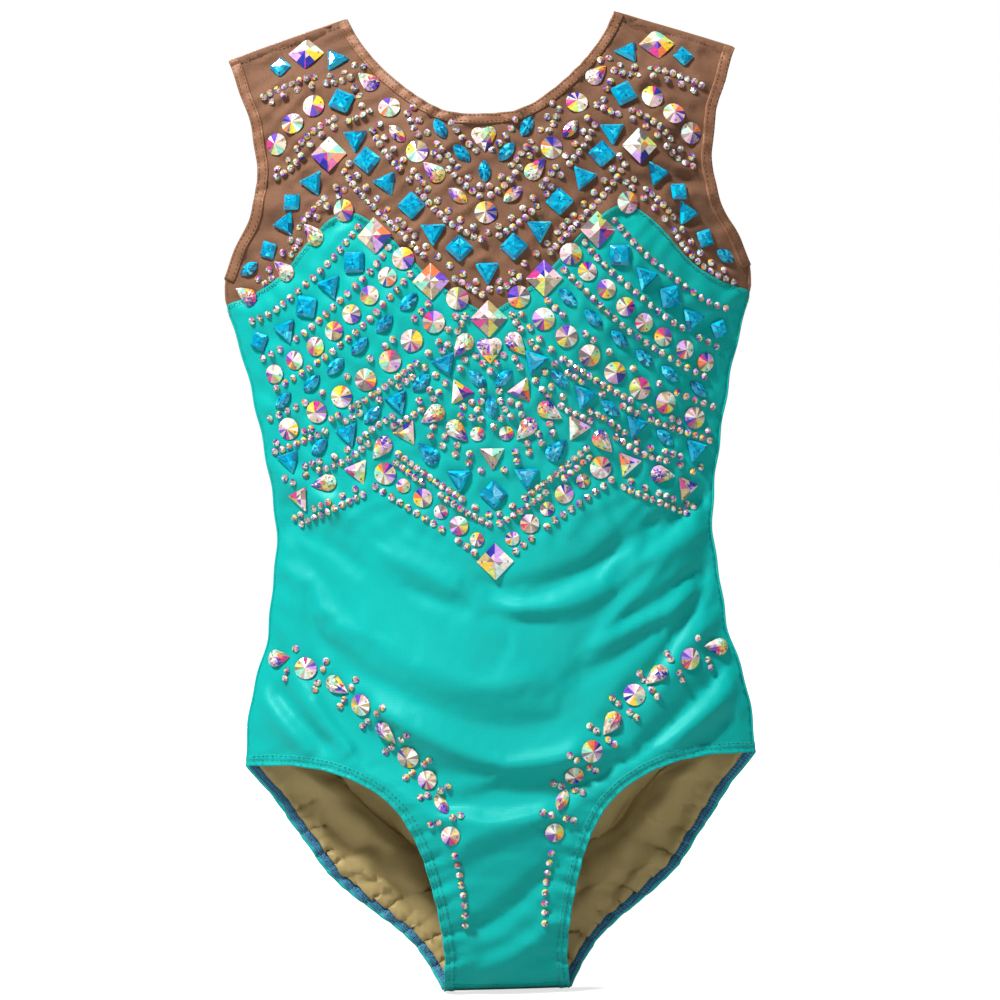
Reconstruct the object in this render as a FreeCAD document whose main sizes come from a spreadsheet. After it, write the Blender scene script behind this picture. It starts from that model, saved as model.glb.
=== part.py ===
import FreeCAD, Part
import math
import os
import Sketcher
from FreeCAD import Placement, Rotation, Vector

# A sleeveless gymnastics leotard in the shape it has when it is worn.
# X runs to the wearer's left, Y to the wearer's back and Z up from the crotch, in millimetres.
# The body is a flat oval tube between a front skin and a back skin. Every fabric layer is a
# slab that lies inside one of the skins, trimmed to its outline as seen from the front.

doc = FreeCAD.newDocument("Leotard")
sizes = doc.addObject("Spreadsheet::Sheet", "Sizes")

FRONT = -1
BACK = 1
UPRIGHT = Rotation(Vector(1, 0, 0), 90)


# ---------------------------------------------------------------- sizes

# Name, height, half width, front depth and back depth of each cross-section of the body.
SECTIONS = [
    ("crotch", 0, 78, 0.8, 0.8),
    ("fold", 4, 82, 9, 9),
    ("gusset", 20, 98, 19, 20),
    ("thigh", 55, 125, 28, 31),
    ("seat", 100, 150, 36, 43),
    ("hip", 147, 163, 41, 49),
    ("belly", 215, 150.5, 39, 41),
    ("waist", 306, 140, 34, 32),
    ("ribs", 370, 149, 40, 35),
    ("chest", 441, 166, 46, 39),
    ("armpit", 500, 171, 43, 37),
    ("collar", 560, 169, 31, 29),
    ("tip", 590, 163.5, 18, 18),
    ("shoulder", 602, 141, 11, 11),
    ("shoulder_middle", 611, 114, 7, 7),
    ("neck_point", 621, 85, 2.5, 2.5),
]

OTHER_SIZES = [
    ("fabric_thickness", 0.8),
    ("mesh_thickness", 0.6),
    ("mesh_start", 0.9),
    ("lining_start", 1.6),
    ("lining_thickness", 0.6),
    ("gusset_start", 2.4),
    ("gusset_thickness", 0.6),
    ("elastic_start", 1.2),
    ("elastic_thickness", 1.2),
    ("elastic_width", 8),
    ("binding_thickness", 2.2),
    ("neck_binding_width", 8),
    ("arm_binding_width", 7.5),
    ("seam_width", 4),
    ("crotch_seam_height", 3),
    ("bridge_half_width", 40),
    ("gap", 0.2),
    ("lap", 7),
    ("patch_half_width", 28),
    ("patch_front_height", 92),
    ("patch_back_height", 60),
    ("link_start", 3.4),
    ("link_thickness", 0.6),
    ("reach", 120),
    ("margin", 40),
    ("leg_corner_height", 147),
    ("side_outside", 200),
    ("lining_side_inset", 6),
    ("hem_side_inset", 1.9),
    ("rim_trim", 0.3),
    ("gusset_link_depth", 5.2),
    ("elastic_link_depth", 6),
    ("stone_lift", 0.15),
    ("bead_radius", 2.35),
    ("bead_height", 1.8),
    ("rivoli_large", 14),
    ("rivoli_medium", 12),
    ("rivoli_small", 9),
    ("rivoli_height_ratio", 0.25),
    ("square_large", 16),
    ("square_medium", 12),
    ("square_small", 9.5),
    ("triangle_side", 15.5),
    ("navette_length", 15),
    ("navette_width", 7.5),
    ("drop_length", 17),
    ("drop_width", 11),
    ("heart_width", 15.5),
    ("heart_length", 19.9),
    ("table_ratio", 0.62),
    ("point_ratio", 0.08),
    ("stone_height", 3.4),
    ("bead_pitch", 4.9),
    ("single_bead_pitch", 6.2),
    ("bead_row_spacing", 5.2),
    ("hip_bead_inner", 4.8),
    ("hip_bead_outer", 9.8),
    ("hip_trim_top", 240),
    ("longest_stone_reach", 40),
    ("shoulder_ridge_inner", 40),
]


def fill_sheet():
    rows = []
    for name, height, half_width, front, back in SECTIONS:
        rows += [(name + "_height", height), (name + "_half_width", half_width)]
        rows += [(name + "_front_depth", front), (name + "_back_depth", back)]
    for number, (alias, value) in enumerate(rows + OTHER_SIZES, 1):
        sizes.set("A" + str(number), alias)
        sizes.set("B" + str(number), str(value))
        sizes.setAlias("B" + str(number), alias)
    doc.recompute()


def size(alias):
    return float(sizes.get(alias))


# ---------------------------------------------------------------- outlines (X, Z)
# Each is drawn for the wearer's left side, with the fabric to the right of the way it runs.

SHOULDER_LINE = [(85, 621), (161, 596)]
ARMHOLE = [(165, 608), (161, 596), (151, 565), (145, 522), (148, 498), (159, 479), (169, 458), (175, 446)]
FRONT_NECK = [(0, 553.6), (22, 556), (40, 566), (53, 577), (68, 593), (85, 621), (90, 632)]
BACK_NECK = [(0, 515), (18, 519), (35, 532), (52, 555), (70, 587), (85, 621), (90, 632)]
HEART_LINE = [(0, 427), (28.5, 445.5), (44.5, 460), (77, 491), (87, 494.5), (95.6, 491.5), (118.5, 470),
              (144, 448.5), (165.5, 441), (200, 436)]
BACK_YOKE_LINE = [(0, 452), (60, 450), (120, 445), (165.5, 441), (200, 438)]
FRONT_LEG = [(175, 145), (163, 147), (130, 147.5), (87, 136), (64, 117), (50.6, 90), (42, 54), (38.5, 21),
             (40, 0), (41, -8)]
BACK_LEG = [(170, 158), (163, 147), (145, 123.5), (131.5, 104), (104, 66), (59, 27.5), (41, 0), (36, -8)]


def mirrored(points):
    return [(-x, z) for x, z in points]


def extended(points):
    """A straight line made longer at both ends."""
    (x0, z0), (x1, z1) = points
    return [(x0 - (x1 - x0) / 3, z0 - (z1 - z0) / 3), (x1 + (x1 - x0) / 3, z1 + (z1 - z0) / 3)]


def lowered(points, drop):
    return [(x, z - drop) for x, z in points]


def side_line(inset):
    """The side of the body between leg and arm, moved inwards."""
    names = ["hip", "belly", "waist", "ribs", "chest", "armpit"]
    return [(size(name + "_half_width") - inset, size(name + "_height")) for name in names]


# ---------------------------------------------------------------- flat areas and prisms

def curve(points):
    if len(points) == 2:
        return Part.LineSegment(Vector(*points[0], 0), Vector(*points[1], 0))
    spline = Part.BSplineCurve()
    spline.interpolate([Vector(x, z, 0) for x, z in points])
    return spline


def area(name, runs):
    """A closed sketch in the front plane, made of lines and splines that follow each other."""
    sketch = doc.addObject("Sketcher::SketchObject", name)
    edges = [sketch.addGeometry(curve(points), False) for points in runs]
    for first, second in zip(edges, edges[1:] + edges[:1]):
        sketch.addConstraint(Sketcher.Constraint("Coincident", first, 2, second, 1))
    sketch.Placement = Placement(Vector(0, 0, 0), UPRIGHT)
    return sketch


def area_between(name, upper, lower):
    """The area between two lines, each given as runs from the right side to the left side."""
    left_edge = [upper[-1][-1], lower[-1][-1]]
    right_edge = [lower[0][0], upper[0][0]]
    return area(name, upper + [left_edge] + [run[::-1] for run in reversed(lower)] + [right_edge])


def both_sides(points, peaked=False):
    """A line given from the centre to the left side, continued over the right side."""
    if peaked:
        return [mirrored(points[::-1]), points]
    return [mirrored(points[::-1]) + points[1:]]


def level(height):
    outside = size("side_outside")
    return [[(-outside, height), (outside, height)]]


def beside(name, edge, corners):
    """The area between an edge and straight lines through the corners."""
    lines = list(zip([edge[-1]] + corners, corners + [edge[0]]))
    return area(name, [edge] + [list(line) for line in lines])


def shifted(points, distance):
    """A line moved sideways by a distance, to the right of the way it runs."""
    if distance == 0:
        return points
    path = curve(points)
    moved = []
    for spot in path.discretize(2 if len(points) == 2 else 3 * len(points)):
        along = path.tangent(path.parameter(spot))[0]
        moved.append((spot.x + along.y * distance, spot.y - along.x * distance))
    return moved


def prism(name, flat, side):
    """A flat area pushed through the front half or the back half of the body."""
    solid = doc.addObject("Part::Extrusion", name)
    solid.Base = flat
    solid.DirMode = "Custom"
    solid.Dir = Vector(0, side, 0)
    solid.Solid = True
    solid.setExpression("LengthFwd", "Sizes.reach")
    return solid


def mirror(source, name):
    twin = doc.addObject("Part::Mirroring", name)
    twin.Source = source
    twin.Normal = Vector(1, 0, 0)
    return twin


def fuse(name, shapes):
    joined = doc.addObject("Part::MultiFuse", name)
    joined.Shapes = shapes
    return joined


def overlap(name, shapes):
    kept = doc.addObject("Part::MultiCommon", name)
    kept.Shapes = shapes
    return kept


def cut(name, base, tools):
    left = doc.addObject("Part::Cut", name)
    left.Base = base
    left.Tool = tools[0] if len(tools) == 1 else fuse(name + "_tools", tools)
    return left


# ---------------------------------------------------------------- skins and slabs

def section_sketch(name, height, half_width, depth, side_name):
    """One cross-section of a skin: a shallow arc from side to side."""
    side = FRONT if side_name == "front" else BACK
    radius = (half_width**2 + depth**2) / (2 * depth)
    centre = -side * (radius - depth)
    half_angle = math.asin(half_width / radius)
    middle = side * math.pi / 2
    circle = Part.Circle(Vector(0, centre, 0), Vector(0, 0, 1), radius)
    sketch = doc.addObject("Sketcher::SketchObject", name + "_" + side_name + "_section")
    arc = sketch.addGeometry(Part.ArcOfCircle(circle, middle - half_angle, middle + half_angle), False)
    sketch.addConstraint(Sketcher.Constraint("PointOnObject", arc, 3, -2))
    sketch.addConstraint(Sketcher.Constraint("PointOnObject", arc, 1, -1))
    sketch.addConstraint(Sketcher.Constraint("PointOnObject", arc, 2, -1))
    held = sketch.addConstraint(Sketcher.Constraint("Radius", arc, radius))
    width = "Sizes." + name + "_half_width"
    deep = "Sizes." + name + "_" + side_name + "_depth"
    sketch.setExpression(f"Constraints[{held}]", f"({width}^2 + {deep}^2) / (2 * {deep})")
    ends = (1, 2) if side == FRONT else (2, 1)
    held = sketch.addConstraint(Sketcher.Constraint("DistanceX", arc, ends[0], arc, ends[1], 2 * half_width))
    sketch.setExpression(f"Constraints[{held}]", "2 * " + width)
    sketch.setExpression("Placement.Base.z", "Sizes." + name + "_height")
    return sketch


def skin(side_name):
    loft = doc.addObject("Part::Loft", side_name + "_skin")
    loft.Sections = [
        section_sketch(name, height, width, front if side_name == "front" else back, side_name)
        for name, height, width, front, back in SECTIONS
    ]
    loft.Solid = False
    loft.Ruled = False
    return loft


def slab(name, side, start, thickness):
    """A fabric layer under a skin: it starts at one depth and has a thickness."""
    layer = doc.addObject("Part::Extrusion", name)
    layer.Base = SKINS[side]
    layer.DirMode = "Custom"
    layer.Dir = Vector(0, -side, 0)
    layer.Solid = True
    layer.setExpression("LengthFwd", thickness)
    layer.setExpression("Placement.Base.y", f"{-side} * ({start})")
    return layer


fill_sheet()
SKINS = {FRONT: skin("front"), BACK: skin("back")}
SIDES = [("front", FRONT, FRONT_NECK, FRONT_LEG), ("back", BACK, BACK_NECK, BACK_LEG)]
PARTS = []


def node(piece, label):
    piece.Label = label
    PARTS.append(piece)


# ---------------------------------------------------------------- openings and cutting tools

class Half:
    """The tools that trim the front or the back of the body."""

    def __init__(self, name, side, neck_line, leg_line):
        outside = size("side_outside")
        top = size("neck_point_height") + size("margin")
        self.name, self.side = name, side
        self.neck_line = both_sides(neck_line)[0]
        arm = (ARMHOLE, [(outside, ARMHOLE[-1][1]), (outside, ARMHOLE[0][1])])
        leg = (leg_line, [(outside, leg_line[-1][1]), (outside, leg_line[0][1])])
        ridge = (extended(SHOULDER_LINE), [(outside, top), (size("shoulder_ridge_inner"), top)])
        gap = size("gap")
        self.neck_hole = self.neck_prism("neck_opening", top, 0)
        self.neck_band = self.neck_prism("neck_band", top, size("neck_binding_width"))
        self.neck_cut = [self.neck_prism("neck_cut", top, size("neck_binding_width") + gap)]
        self.arm_hole = self.band("arm_opening", arm, 0)
        self.arm_band = self.band("arm_band", arm, size("arm_binding_width"))
        self.arm_cut = self.pair("arm_cut", arm, size("arm_binding_width") + gap)
        self.leg_holes = self.pair("leg_opening", leg, 0)
        self.leg_hole = self.leg_holes[0]
        self.leg_band = self.band("leg_band", leg, size("elastic_width"))
        self.leg_cut = self.pair("leg_cut", leg, size("elastic_width") + gap)
        self.shoulder_band = self.band("shoulder_band", ridge, size("seam_width"))
        self.shoulder_cut = self.pair("shoulder_cut", ridge, size("seam_width") + gap)
        self.side_band = self.side_strip("side_band", size("seam_width"), False)
        self.rim = self.side_strip("rim", size("rim_trim"), True)
        self.side_cut = self.side_pair("side_cut", size("seam_width") + gap)
        self.lining_cut = self.side_pair("lining_cut", size("lining_side_inset"))

    def neck_prism(self, part, top, width):
        """Everything above the neck edge, and a strip of fabric below it."""
        edge = shifted(self.neck_line, width)
        above = [[(edge[0][0], top), (edge[-1][0], top)]]
        area = area_between(f"{self.name}_{part}_area", above, [edge])
        return prism(f"{self.name}_{part}", area, self.side)

    def band(self, part, border, width):
        """An opening on the left side, made wider by a strip of fabric around it."""
        edge, corners = border
        outline = beside(f"{self.name}_{part}_area", shifted(edge, width), corners)
        return prism(f"{self.name}_{part}", outline, self.side)

    def pair(self, part, border, width):
        left = self.band(part, border, width)
        return [left, mirror(left, f"{self.name}_right_{part}")]

    def side_strip(self, part, inset, beside_hem):
        """Everything outside the side seam line. Beside the leg hem it is narrower or absent."""
        outside = size("side_outside")
        edge = side_line(inset)
        hem_top = size("leg_corner_height") + size("elastic_width") + (0 if beside_hem else size("gap"))
        edge[0] = (edge[0][0], hem_top)
        top = (outside, edge[-1][1])
        if beside_hem:
            narrow = size("hip_half_width") - size("hem_side_inset")
            path = [(outside, 0), (narrow, 0), (narrow, hem_top)]
        else:
            path = [(outside, hem_top)]
        return prism(f"{self.name}_{part}", beside(f"{self.name}_{part}_area", edge, [top] + path), self.side)

    def side_pair(self, part, inset):
        left = self.side_strip(part, inset, True)
        return [left, mirror(left, f"{self.name}_right_{part}")]

    def panel(self, part, layer, upper, lower, tools):
        """A layer kept between an upper and a lower line, with strips and holes cut away."""
        start, thickness = layer
        fabric = slab(f"{self.name}_{part}_slab", self.side, start, thickness)
        area = area_between(f"{self.name}_{part}_area", upper, lower)
        inside = prism(f"{self.name}_{part}_prism", area, self.side)
        return cut(f"{self.name}_{part}", overlap(f"{self.name}_{part}_blank", [fabric, inside]), tools)

    def strip(self, part, layer, limits, hole):
        """A layer kept inside limits and outside a hole."""
        fabric = slab(f"{self.name}_{part}_slab", self.side, *layer)
        blank = overlap(f"{self.name}_{part}_blank", [fabric] + limits)
        return cut(f"{self.name}_{part}", blank, hole) if hole else blank


HALVES = {name: Half(name, side, neck, leg) for name, side, neck, leg in SIDES}
FABRIC = ("0", "Sizes.fabric_thickness")
MESH = ("Sizes.mesh_start", "Sizes.mesh_thickness")
LINING = ("Sizes.lining_start", "Sizes.lining_thickness")
GUSSET = ("Sizes.gusset_start", "Sizes.gusset_thickness")
ELASTIC = ("Sizes.elastic_start", "Sizes.elastic_thickness")
BINDING = ("0", "Sizes.binding_thickness")
FULL_DEPTH = ("0", "Sizes.reach")
HEM_BOTTOM = size("crotch_seam_height") + size("gap")


def both_halves(make):
    return [make(HALVES["front"]), make(HALVES["back"])]


def left_and_right(left_piece, name):
    """The wearer's left piece and its mirror image on the right."""
    node(left_piece, "left_" + name)
    node(mirror(left_piece, "right_" + name), "right_" + name)


# ---------------------------------------------------------------- body panels, yokes and linings

def body_panel(half, top_line, peaked):
    piece = half.panel("body_panel", FABRIC, both_sides(top_line, peaked), level(HEM_BOTTOM),
                       half.leg_holes + half.side_cut)
    node(piece, half.name + "_body_panel")


def yoke(half, bottom_line, peaked):
    above = level(size("neck_point_height") + size("margin"))
    lapped = both_sides(lowered(bottom_line, size("lap")), peaked)
    piece = half.panel("yoke", MESH, above, lapped,
                       half.neck_cut + half.arm_cut + half.side_cut + half.shoulder_cut)
    node(piece, half.name + "_yoke")


def lining(half, top_line, peaked):
    below_lap = both_sides(lowered(top_line, size("lap") + 1), peaked)
    piece = half.panel("lining", LINING, below_lap, level(HEM_BOTTOM), half.leg_cut + half.lining_cut)
    node(piece, half.name + "_lining")


# ---------------------------------------------------------------- gusset, elastics, bindings, seams

def link(name, inner, outer, half_depth):
    """The short piece of a band that passes under the crotch, from front to back."""
    box = doc.addObject("Part::Box", name)
    box.setExpression("Length", f"{outer} - ({inner})")
    box.setExpression("Width", f"2 * {half_depth}")
    box.setExpression("Height", "Sizes.link_thickness")
    box.setExpression("Placement.Base.x", inner)
    box.setExpression("Placement.Base.y", f"-{half_depth}")
    box.setExpression("Placement.Base.z", "Sizes.link_start")
    return box


def crotch_gusset():
    width = size("patch_half_width")
    heights = {"front": size("patch_front_height"), "back": size("patch_back_height")}

    def patch(half):
        top = heights[half.name]
        upper = [[(-width, top - 8), (0, top), (width, top - 8)]]
        lower = [[(-width, size("link_start")), (width, size("link_start"))]]
        outline = area_between(half.name + "_gusset_area", upper, lower)
        return half.strip("gusset", GUSSET, [prism(half.name + "_gusset_prism", outline, half.side)], [])

    half_width = "Sizes.patch_half_width"
    bridge = link("gusset_link", "-" + half_width, half_width, "Sizes.gusset_link_depth")
    node(fuse("gusset", both_halves(patch) + [bridge]), "crotch_gusset")


def leg_elastics():
    def band(half):
        upper = level(size("neck_point_height"))
        lower = level(size("link_start"))
        area = area_between(half.name + "_leg_limit_area", upper, lower)
        above = prism(half.name + "_leg_limit", area, half.side)
        return half.strip("leg_elastic", ELASTIC, [half.leg_band, above], [half.leg_hole])

    inner = "Sizes.bridge_half_width - Sizes.elastic_width"
    bridge = link("elastic_link", inner, "Sizes.bridge_half_width - 1", "Sizes.elastic_link_depth")
    left_and_right(fuse("leg_elastic", both_halves(band) + [bridge]), "leg_elastic")


def neck_binding():
    strips = both_halves(lambda half: half.strip("neck_strip", BINDING, [half.neck_band], [half.neck_hole]))
    node(fuse("neck_ring", strips), "neck_binding")


def armhole_bindings():
    def strip(half):
        return half.strip("arm_strip", BINDING, [half.arm_band], [half.arm_hole, half.rim])

    strips = both_halves(strip)
    left_and_right(fuse("arm_ring", strips), "armhole_binding")


def side_seams():
    strips = both_halves(lambda half: half.strip("side_allowance", FULL_DEPTH, [half.side_band],
                                                 half.arm_cut[:1] + [half.rim]))
    left_and_right(fuse("side_allowance", strips), "side_seam")


def shoulder_seams():
    strips = both_halves(lambda half: half.strip("shoulder_allowance", FULL_DEPTH, [half.shoulder_band],
                                                 half.neck_cut + half.arm_cut[:1]))
    left_and_right(fuse("shoulder_allowance", strips), "shoulder_seam")


def crotch_seam():
    def strip(half):
        top, bottom = level(size("crotch_seam_height")), level(-size("margin"))
        outline = area_between(half.name + "_crotch_area", top, bottom)
        inside = prism(half.name + "_crotch_prism", outline, half.side)
        return half.strip("crotch_allowance", FULL_DEPTH, [inside], half.leg_holes)

    node(fuse("crotch_allowance", both_halves(strip)), "crotch_seam")


# ---------------------------------------------------------------- crystals: one master of each kind

def regular_stone(name, corners, across, height, table):
    """A stone with equal sides: a wide base polygon joined to a smaller table."""
    base = doc.addObject("Part::RegularPolygon", name + "_base")
    face = doc.addObject("Part::RegularPolygon", name + "_table")
    for polygon, ratio in ((base, "1"), (face, table)):
        polygon.Polygon = corners
        polygon.setExpression("Circumradius", f"({across}) * {ratio}")
        polygon.Placement = Placement(Vector(0, 0, 0), Rotation(Vector(0, 0, 1), 90))
    face.setExpression("Placement.Base.z", height)
    return stone_loft(name, base, face)


def stone_loft(name, base, face):
    stone = doc.addObject("Part::Loft", name)
    stone.Sections = [base, face]
    stone.Solid = True
    stone.Ruled = True
    return stone


def round_stone(name, diameter):
    stone = doc.addObject("Part::Cone", name)
    stone.setExpression("Radius1", f"{diameter} / 2")
    stone.setExpression("Radius2", f"{diameter} * Sizes.point_ratio")
    stone.setExpression("Height", f"{diameter} * Sizes.rivoli_height_ratio")
    return stone


def bead():
    stone = doc.addObject("Part::Cone", "bead")
    stone.setExpression("Radius1", "Sizes.bead_radius")
    stone.setExpression("Radius2", "Sizes.bead_radius / 2")
    stone.setExpression("Height", "Sizes.bead_height")
    return stone


def navette_outline(name, ratio):
    """Two equal arcs that meet in a tip at each end of the Y axis."""
    sketch = doc.addObject("Sketcher::SketchObject", name)
    half_length = size("navette_length") * ratio / 2
    half_width = size("navette_width") * ratio / 2
    radius = (half_length**2 + half_width**2) / (2 * half_width)
    half_angle = math.asin(half_length / radius)
    for side in (1, -1):
        circle = Part.Circle(Vector(side * (half_width - radius), 0, 0), Vector(0, 0, 1), radius)
        middle = 0 if side == 1 else math.pi
        arc = sketch.addGeometry(Part.ArcOfCircle(circle, middle - half_angle, middle + half_angle), False)
        held = sketch.addConstraint(Sketcher.Constraint("Radius", arc, radius))
        long, wide = f"(Sizes.navette_length * {ratio} / 2)", f"(Sizes.navette_width * {ratio} / 2)"
        sketch.setExpression(f"Constraints[{held}]", f"({long}^2 + {wide}^2) / (2 * {wide})")
    return sketch


def drop_outline(name, lobes, length, width, ratio):
    """Round at the bottom and pointed at the top: one lobe is a teardrop, two are a heart."""
    sketch = doc.addObject("Sketcher::SketchObject", name)
    lobe = width / 2 / lobes * ratio
    offset = lobe * (lobes - 1)
    tip = (length * ratio) - width * ratio / 2
    reach = math.hypot(offset, tip)
    contact = math.acos(lobe / reach) - math.atan2(offset, tip)
    corner = (offset + lobe * math.sin(contact), lobe * math.cos(contact))
    turn = math.pi / 2 - contact
    lowest = -math.pi / 2 if lobes == 1 else -math.pi
    for side in (1, -1):
        start, end = (lowest, turn) if side == 1 else (math.pi - turn, math.pi - lowest)
        circle = Part.Circle(Vector(side * offset, 0, 0), Vector(0, 0, 1), lobe)
        sketch.addGeometry(Part.ArcOfCircle(circle, start, end), False)
        sketch.addGeometry(Part.LineSegment(Vector(side * corner[0], corner[1], 0), Vector(0, tip, 0)), False)
    return sketch


def outlined_stone(name, outline):
    base = outline(name + "_base", 1)
    face = outline(name + "_table", size("table_ratio"))
    face.setExpression("Placement.Base.z", "Sizes.stone_height")
    return stone_loft(name, base, face)


def drop(name, lobes, length, width):
    def outline(part, ratio):
        return drop_outline(part, lobes, size(length), size(width), ratio)
    return outlined_stone(name, outline)


def square(name, side, table):
    return regular_stone(name, 4, f"{side} / sqrt(2)", "Sizes.stone_height", table)


def triangle(name, table):
    return regular_stone(name, 3, "Sizes.triangle_side / sqrt(3)", "Sizes.stone_height", table)


FLAT, POINTED = "Sizes.table_ratio", "Sizes.point_ratio"
MASTERS = {
    "ab_square_stones": square("ab_square", "Sizes.square_large", POINTED),
    "ab_large_rivolis": round_stone("large_rivoli", "Sizes.rivoli_large"),
    "ab_medium_rivolis": round_stone("medium_rivoli", "Sizes.rivoli_medium"),
    "ab_small_rivolis": round_stone("small_rivoli", "Sizes.rivoli_small"),
    "ab_triangle_stones": triangle("ab_triangle", POINTED),
    "ab_teardrop_stones": drop("ab_teardrop", 1, "drop_length", "drop_width"),
    "ab_navette_stones": outlined_stone("ab_navette", navette_outline),
    "ab_heart_stones": drop("ab_heart", 2, "heart_length", "heart_width"),
    "blue_triangle_stones": triangle("blue_triangle", FLAT),
    "blue_square_stones": square("blue_square", "Sizes.square_medium", FLAT),
    "blue_small_square_stones": square("blue_small_square", "Sizes.square_small", FLAT),
    "blue_navette_stones": outlined_stone("blue_navette", navette_outline),
    "blue_teardrop_stones": drop("blue_teardrop", 1, "drop_length", "drop_width"),
}
BEAD = bead()

# ---------------------------------------------------------------- crystals: where they are sewn
# X, Z and the direction of the tip in degrees: 0 is the wearer's left, 90 is up. Stones off the
# centre line are repeated on the right side. A square's tip is one of its corners.

STONES = {
    "ab_square_stones": [
        (111, 599, 90), (98, 532, 90), (69, 479, 90), (35, 449, 90), (0, 425, 90),
        (0, 274, 90)],
    "ab_large_rivolis": [
        (107, 564, 90), (121, 553, 90), (131, 541, 90), (59, 560, 90), (42, 531, 90),
        (0, 491, 90), (88, 496, 90), (52, 464, 90), (19, 438, 90), (34, 424, 90),
        (48, 413, 90), (62, 401, 90), (78, 390, 90), (93, 380, 90), (109, 371, 90),
        (128, 361, 90), (67, 331, 90), (121, 209, 90), (86, 189, 90), (58, 156, 90)],
    "ab_medium_rivolis": [
        (62, 453, 90), (73, 442, 90), (85, 431, 90), (97, 421, 90), (109, 412, 90),
        (123, 404, 90), (137, 396, 90), (44, 315, 90), (22, 297, 90), (46, 141, 90),
        (32, 104, 90)],
    "ab_small_rivolis": [
        (9, 354, 90), (56, 323, 90), (33, 306, 90), (11, 288, 90)],
    "ab_triangle_stones": [
        (19, 380, -175), (53, 356, 0), (84, 333, 8), (122, 317, 8), (0, 340, -90)],
    "ab_teardrop_stones": [
        (70, 577, 45), (30, 516, 45), (15, 411, -52), (34, 368, -32), (23, 358, -133),
        (67, 349, -49), (104, 326, -10), (141, 215, 180), (103, 201, -150), (72, 174, -128)],
    "ab_navette_stones": [
        (54, 543, 48), (17, 502, 39), (38, 124, -108)],
    "ab_heart_stones": [
        (0, 541, -90), (0, 409, -90)],
    "blue_triangle_stones": [
        (93, 594, 180), (143, 589, 16), (81, 541, -90), (108, 515, 8), (126, 490, 0),
        (61, 512, 10), (33, 480, -90), (0, 455, -90), (98, 449, 12), (128, 423, 10),
        (28, 398, 10), (58, 376, 10), (90, 357, 10), (127, 341, 10), (21, 327, -90)],
    "blue_square_stones": [
        (89, 566, 70), (74, 527, 85), (46, 497, 90), (17, 469, 90), (83, 463, 45),
        (113, 437, 55), (0, 316, 90)],
    "blue_small_square_stones": [
        (128, 591, 90), (121, 503, 45), (138, 474, 60), (146, 417, 65)],
    "blue_navette_stones": [
        (27, 545, 64), (14, 529, 50), (0, 517, 90), (152, 463, -25), (49, 437, -42),
        (65, 424, -42), (81, 411, -42), (97, 399, -40), (113, 389, -38), (131, 379, -36),
        (8, 388, 44), (0, 371, 90), (43, 387, -42), (74, 368, -40), (108, 349, -40)],
    "blue_teardrop_stones": [
        (38, 341, 45)],
}
RIGHT_SIDE_ONLY = {"ab_teardrop_stones": [(-107, 480, 130), (-127, 459, 140), (-150, 445, 150)]}

# Bead strings: the number of rows and the line they follow, given for the left side.
STRINGS = [
    (1, [(20, 549), (9, 534), (0, 527)]),
    (2, [(77, 590), (86, 583), (106, 580), (122, 576), (139, 568)]),
    (2, [(78, 587), (79, 579), (74, 569)]),
    (2, [(73, 561), (84, 556), (99, 550), (111, 541), (121, 530), (133, 522)]),
    (2, [(46, 559), (38, 542), (24, 525), (7, 507), (0, 503)]),
    (2, [(68, 549), (60, 533), (44, 514), (31, 497), (13, 482), (0, 476)]),
    (2, [(90, 528), (82, 516), (68, 499), (51, 481), (34, 464), (18, 452), (0, 441)]),
    (2, [(86, 514), (97, 504), (112, 490), (124, 474), (138, 459), (156, 449)]),
    (1, [(80, 485), (96, 467), (114, 451), (132, 437), (150, 430)]),
    (1, [(61, 471), (77, 453), (96, 436), (116, 421), (144, 406)]),
    (1, [(48, 454), (68, 433), (89, 415), (110, 401), (136, 387)]),
    (1, [(37, 435), (59, 415), (86, 395), (111, 380), (140, 368)]),
    (2, [(17, 428), (33, 406), (57, 388), (88, 369), (113, 358), (138, 349)]),
    (2, [(34, 382), (50, 369), (71, 358), (93, 342), (112, 336), (132, 326)]),
    (2, [(38, 357), (26, 347), (10, 336), (0, 329)]),
    (2, [(60, 341), (43, 327), (25, 314), (8, 303), (0, 299)]),
    (1, [(74, 323), (58, 312), (40, 300), (13, 280)]),
    (2, [(79, 323), (92, 316), (111, 308), (128, 301)]),
    (1, [(13, 407), (0, 392.5)]),
    (1, [(15.5, 400), (18.5, 394.5)]),
    (2, [(14, 394), (8, 378), (14, 366)]),
    (2, [(19, 369), (8, 361), (0, 356)]),
    (1, [(34, 391), (28, 386)]),
    (1, [(0, 526), (0, 504)]),
    (1, [(30, 91), (28, 82), (27, 74), (25.5, 65), (25, 56), (25, 46)]),
]

# Node, lowest height and highest height of each group of beads.
BEAD_REGIONS = [("hip_beads", 0, 240), ("lower_bodice_beads", 240, 372), ("upper_bodice_beads", 372, 700)]


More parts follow.
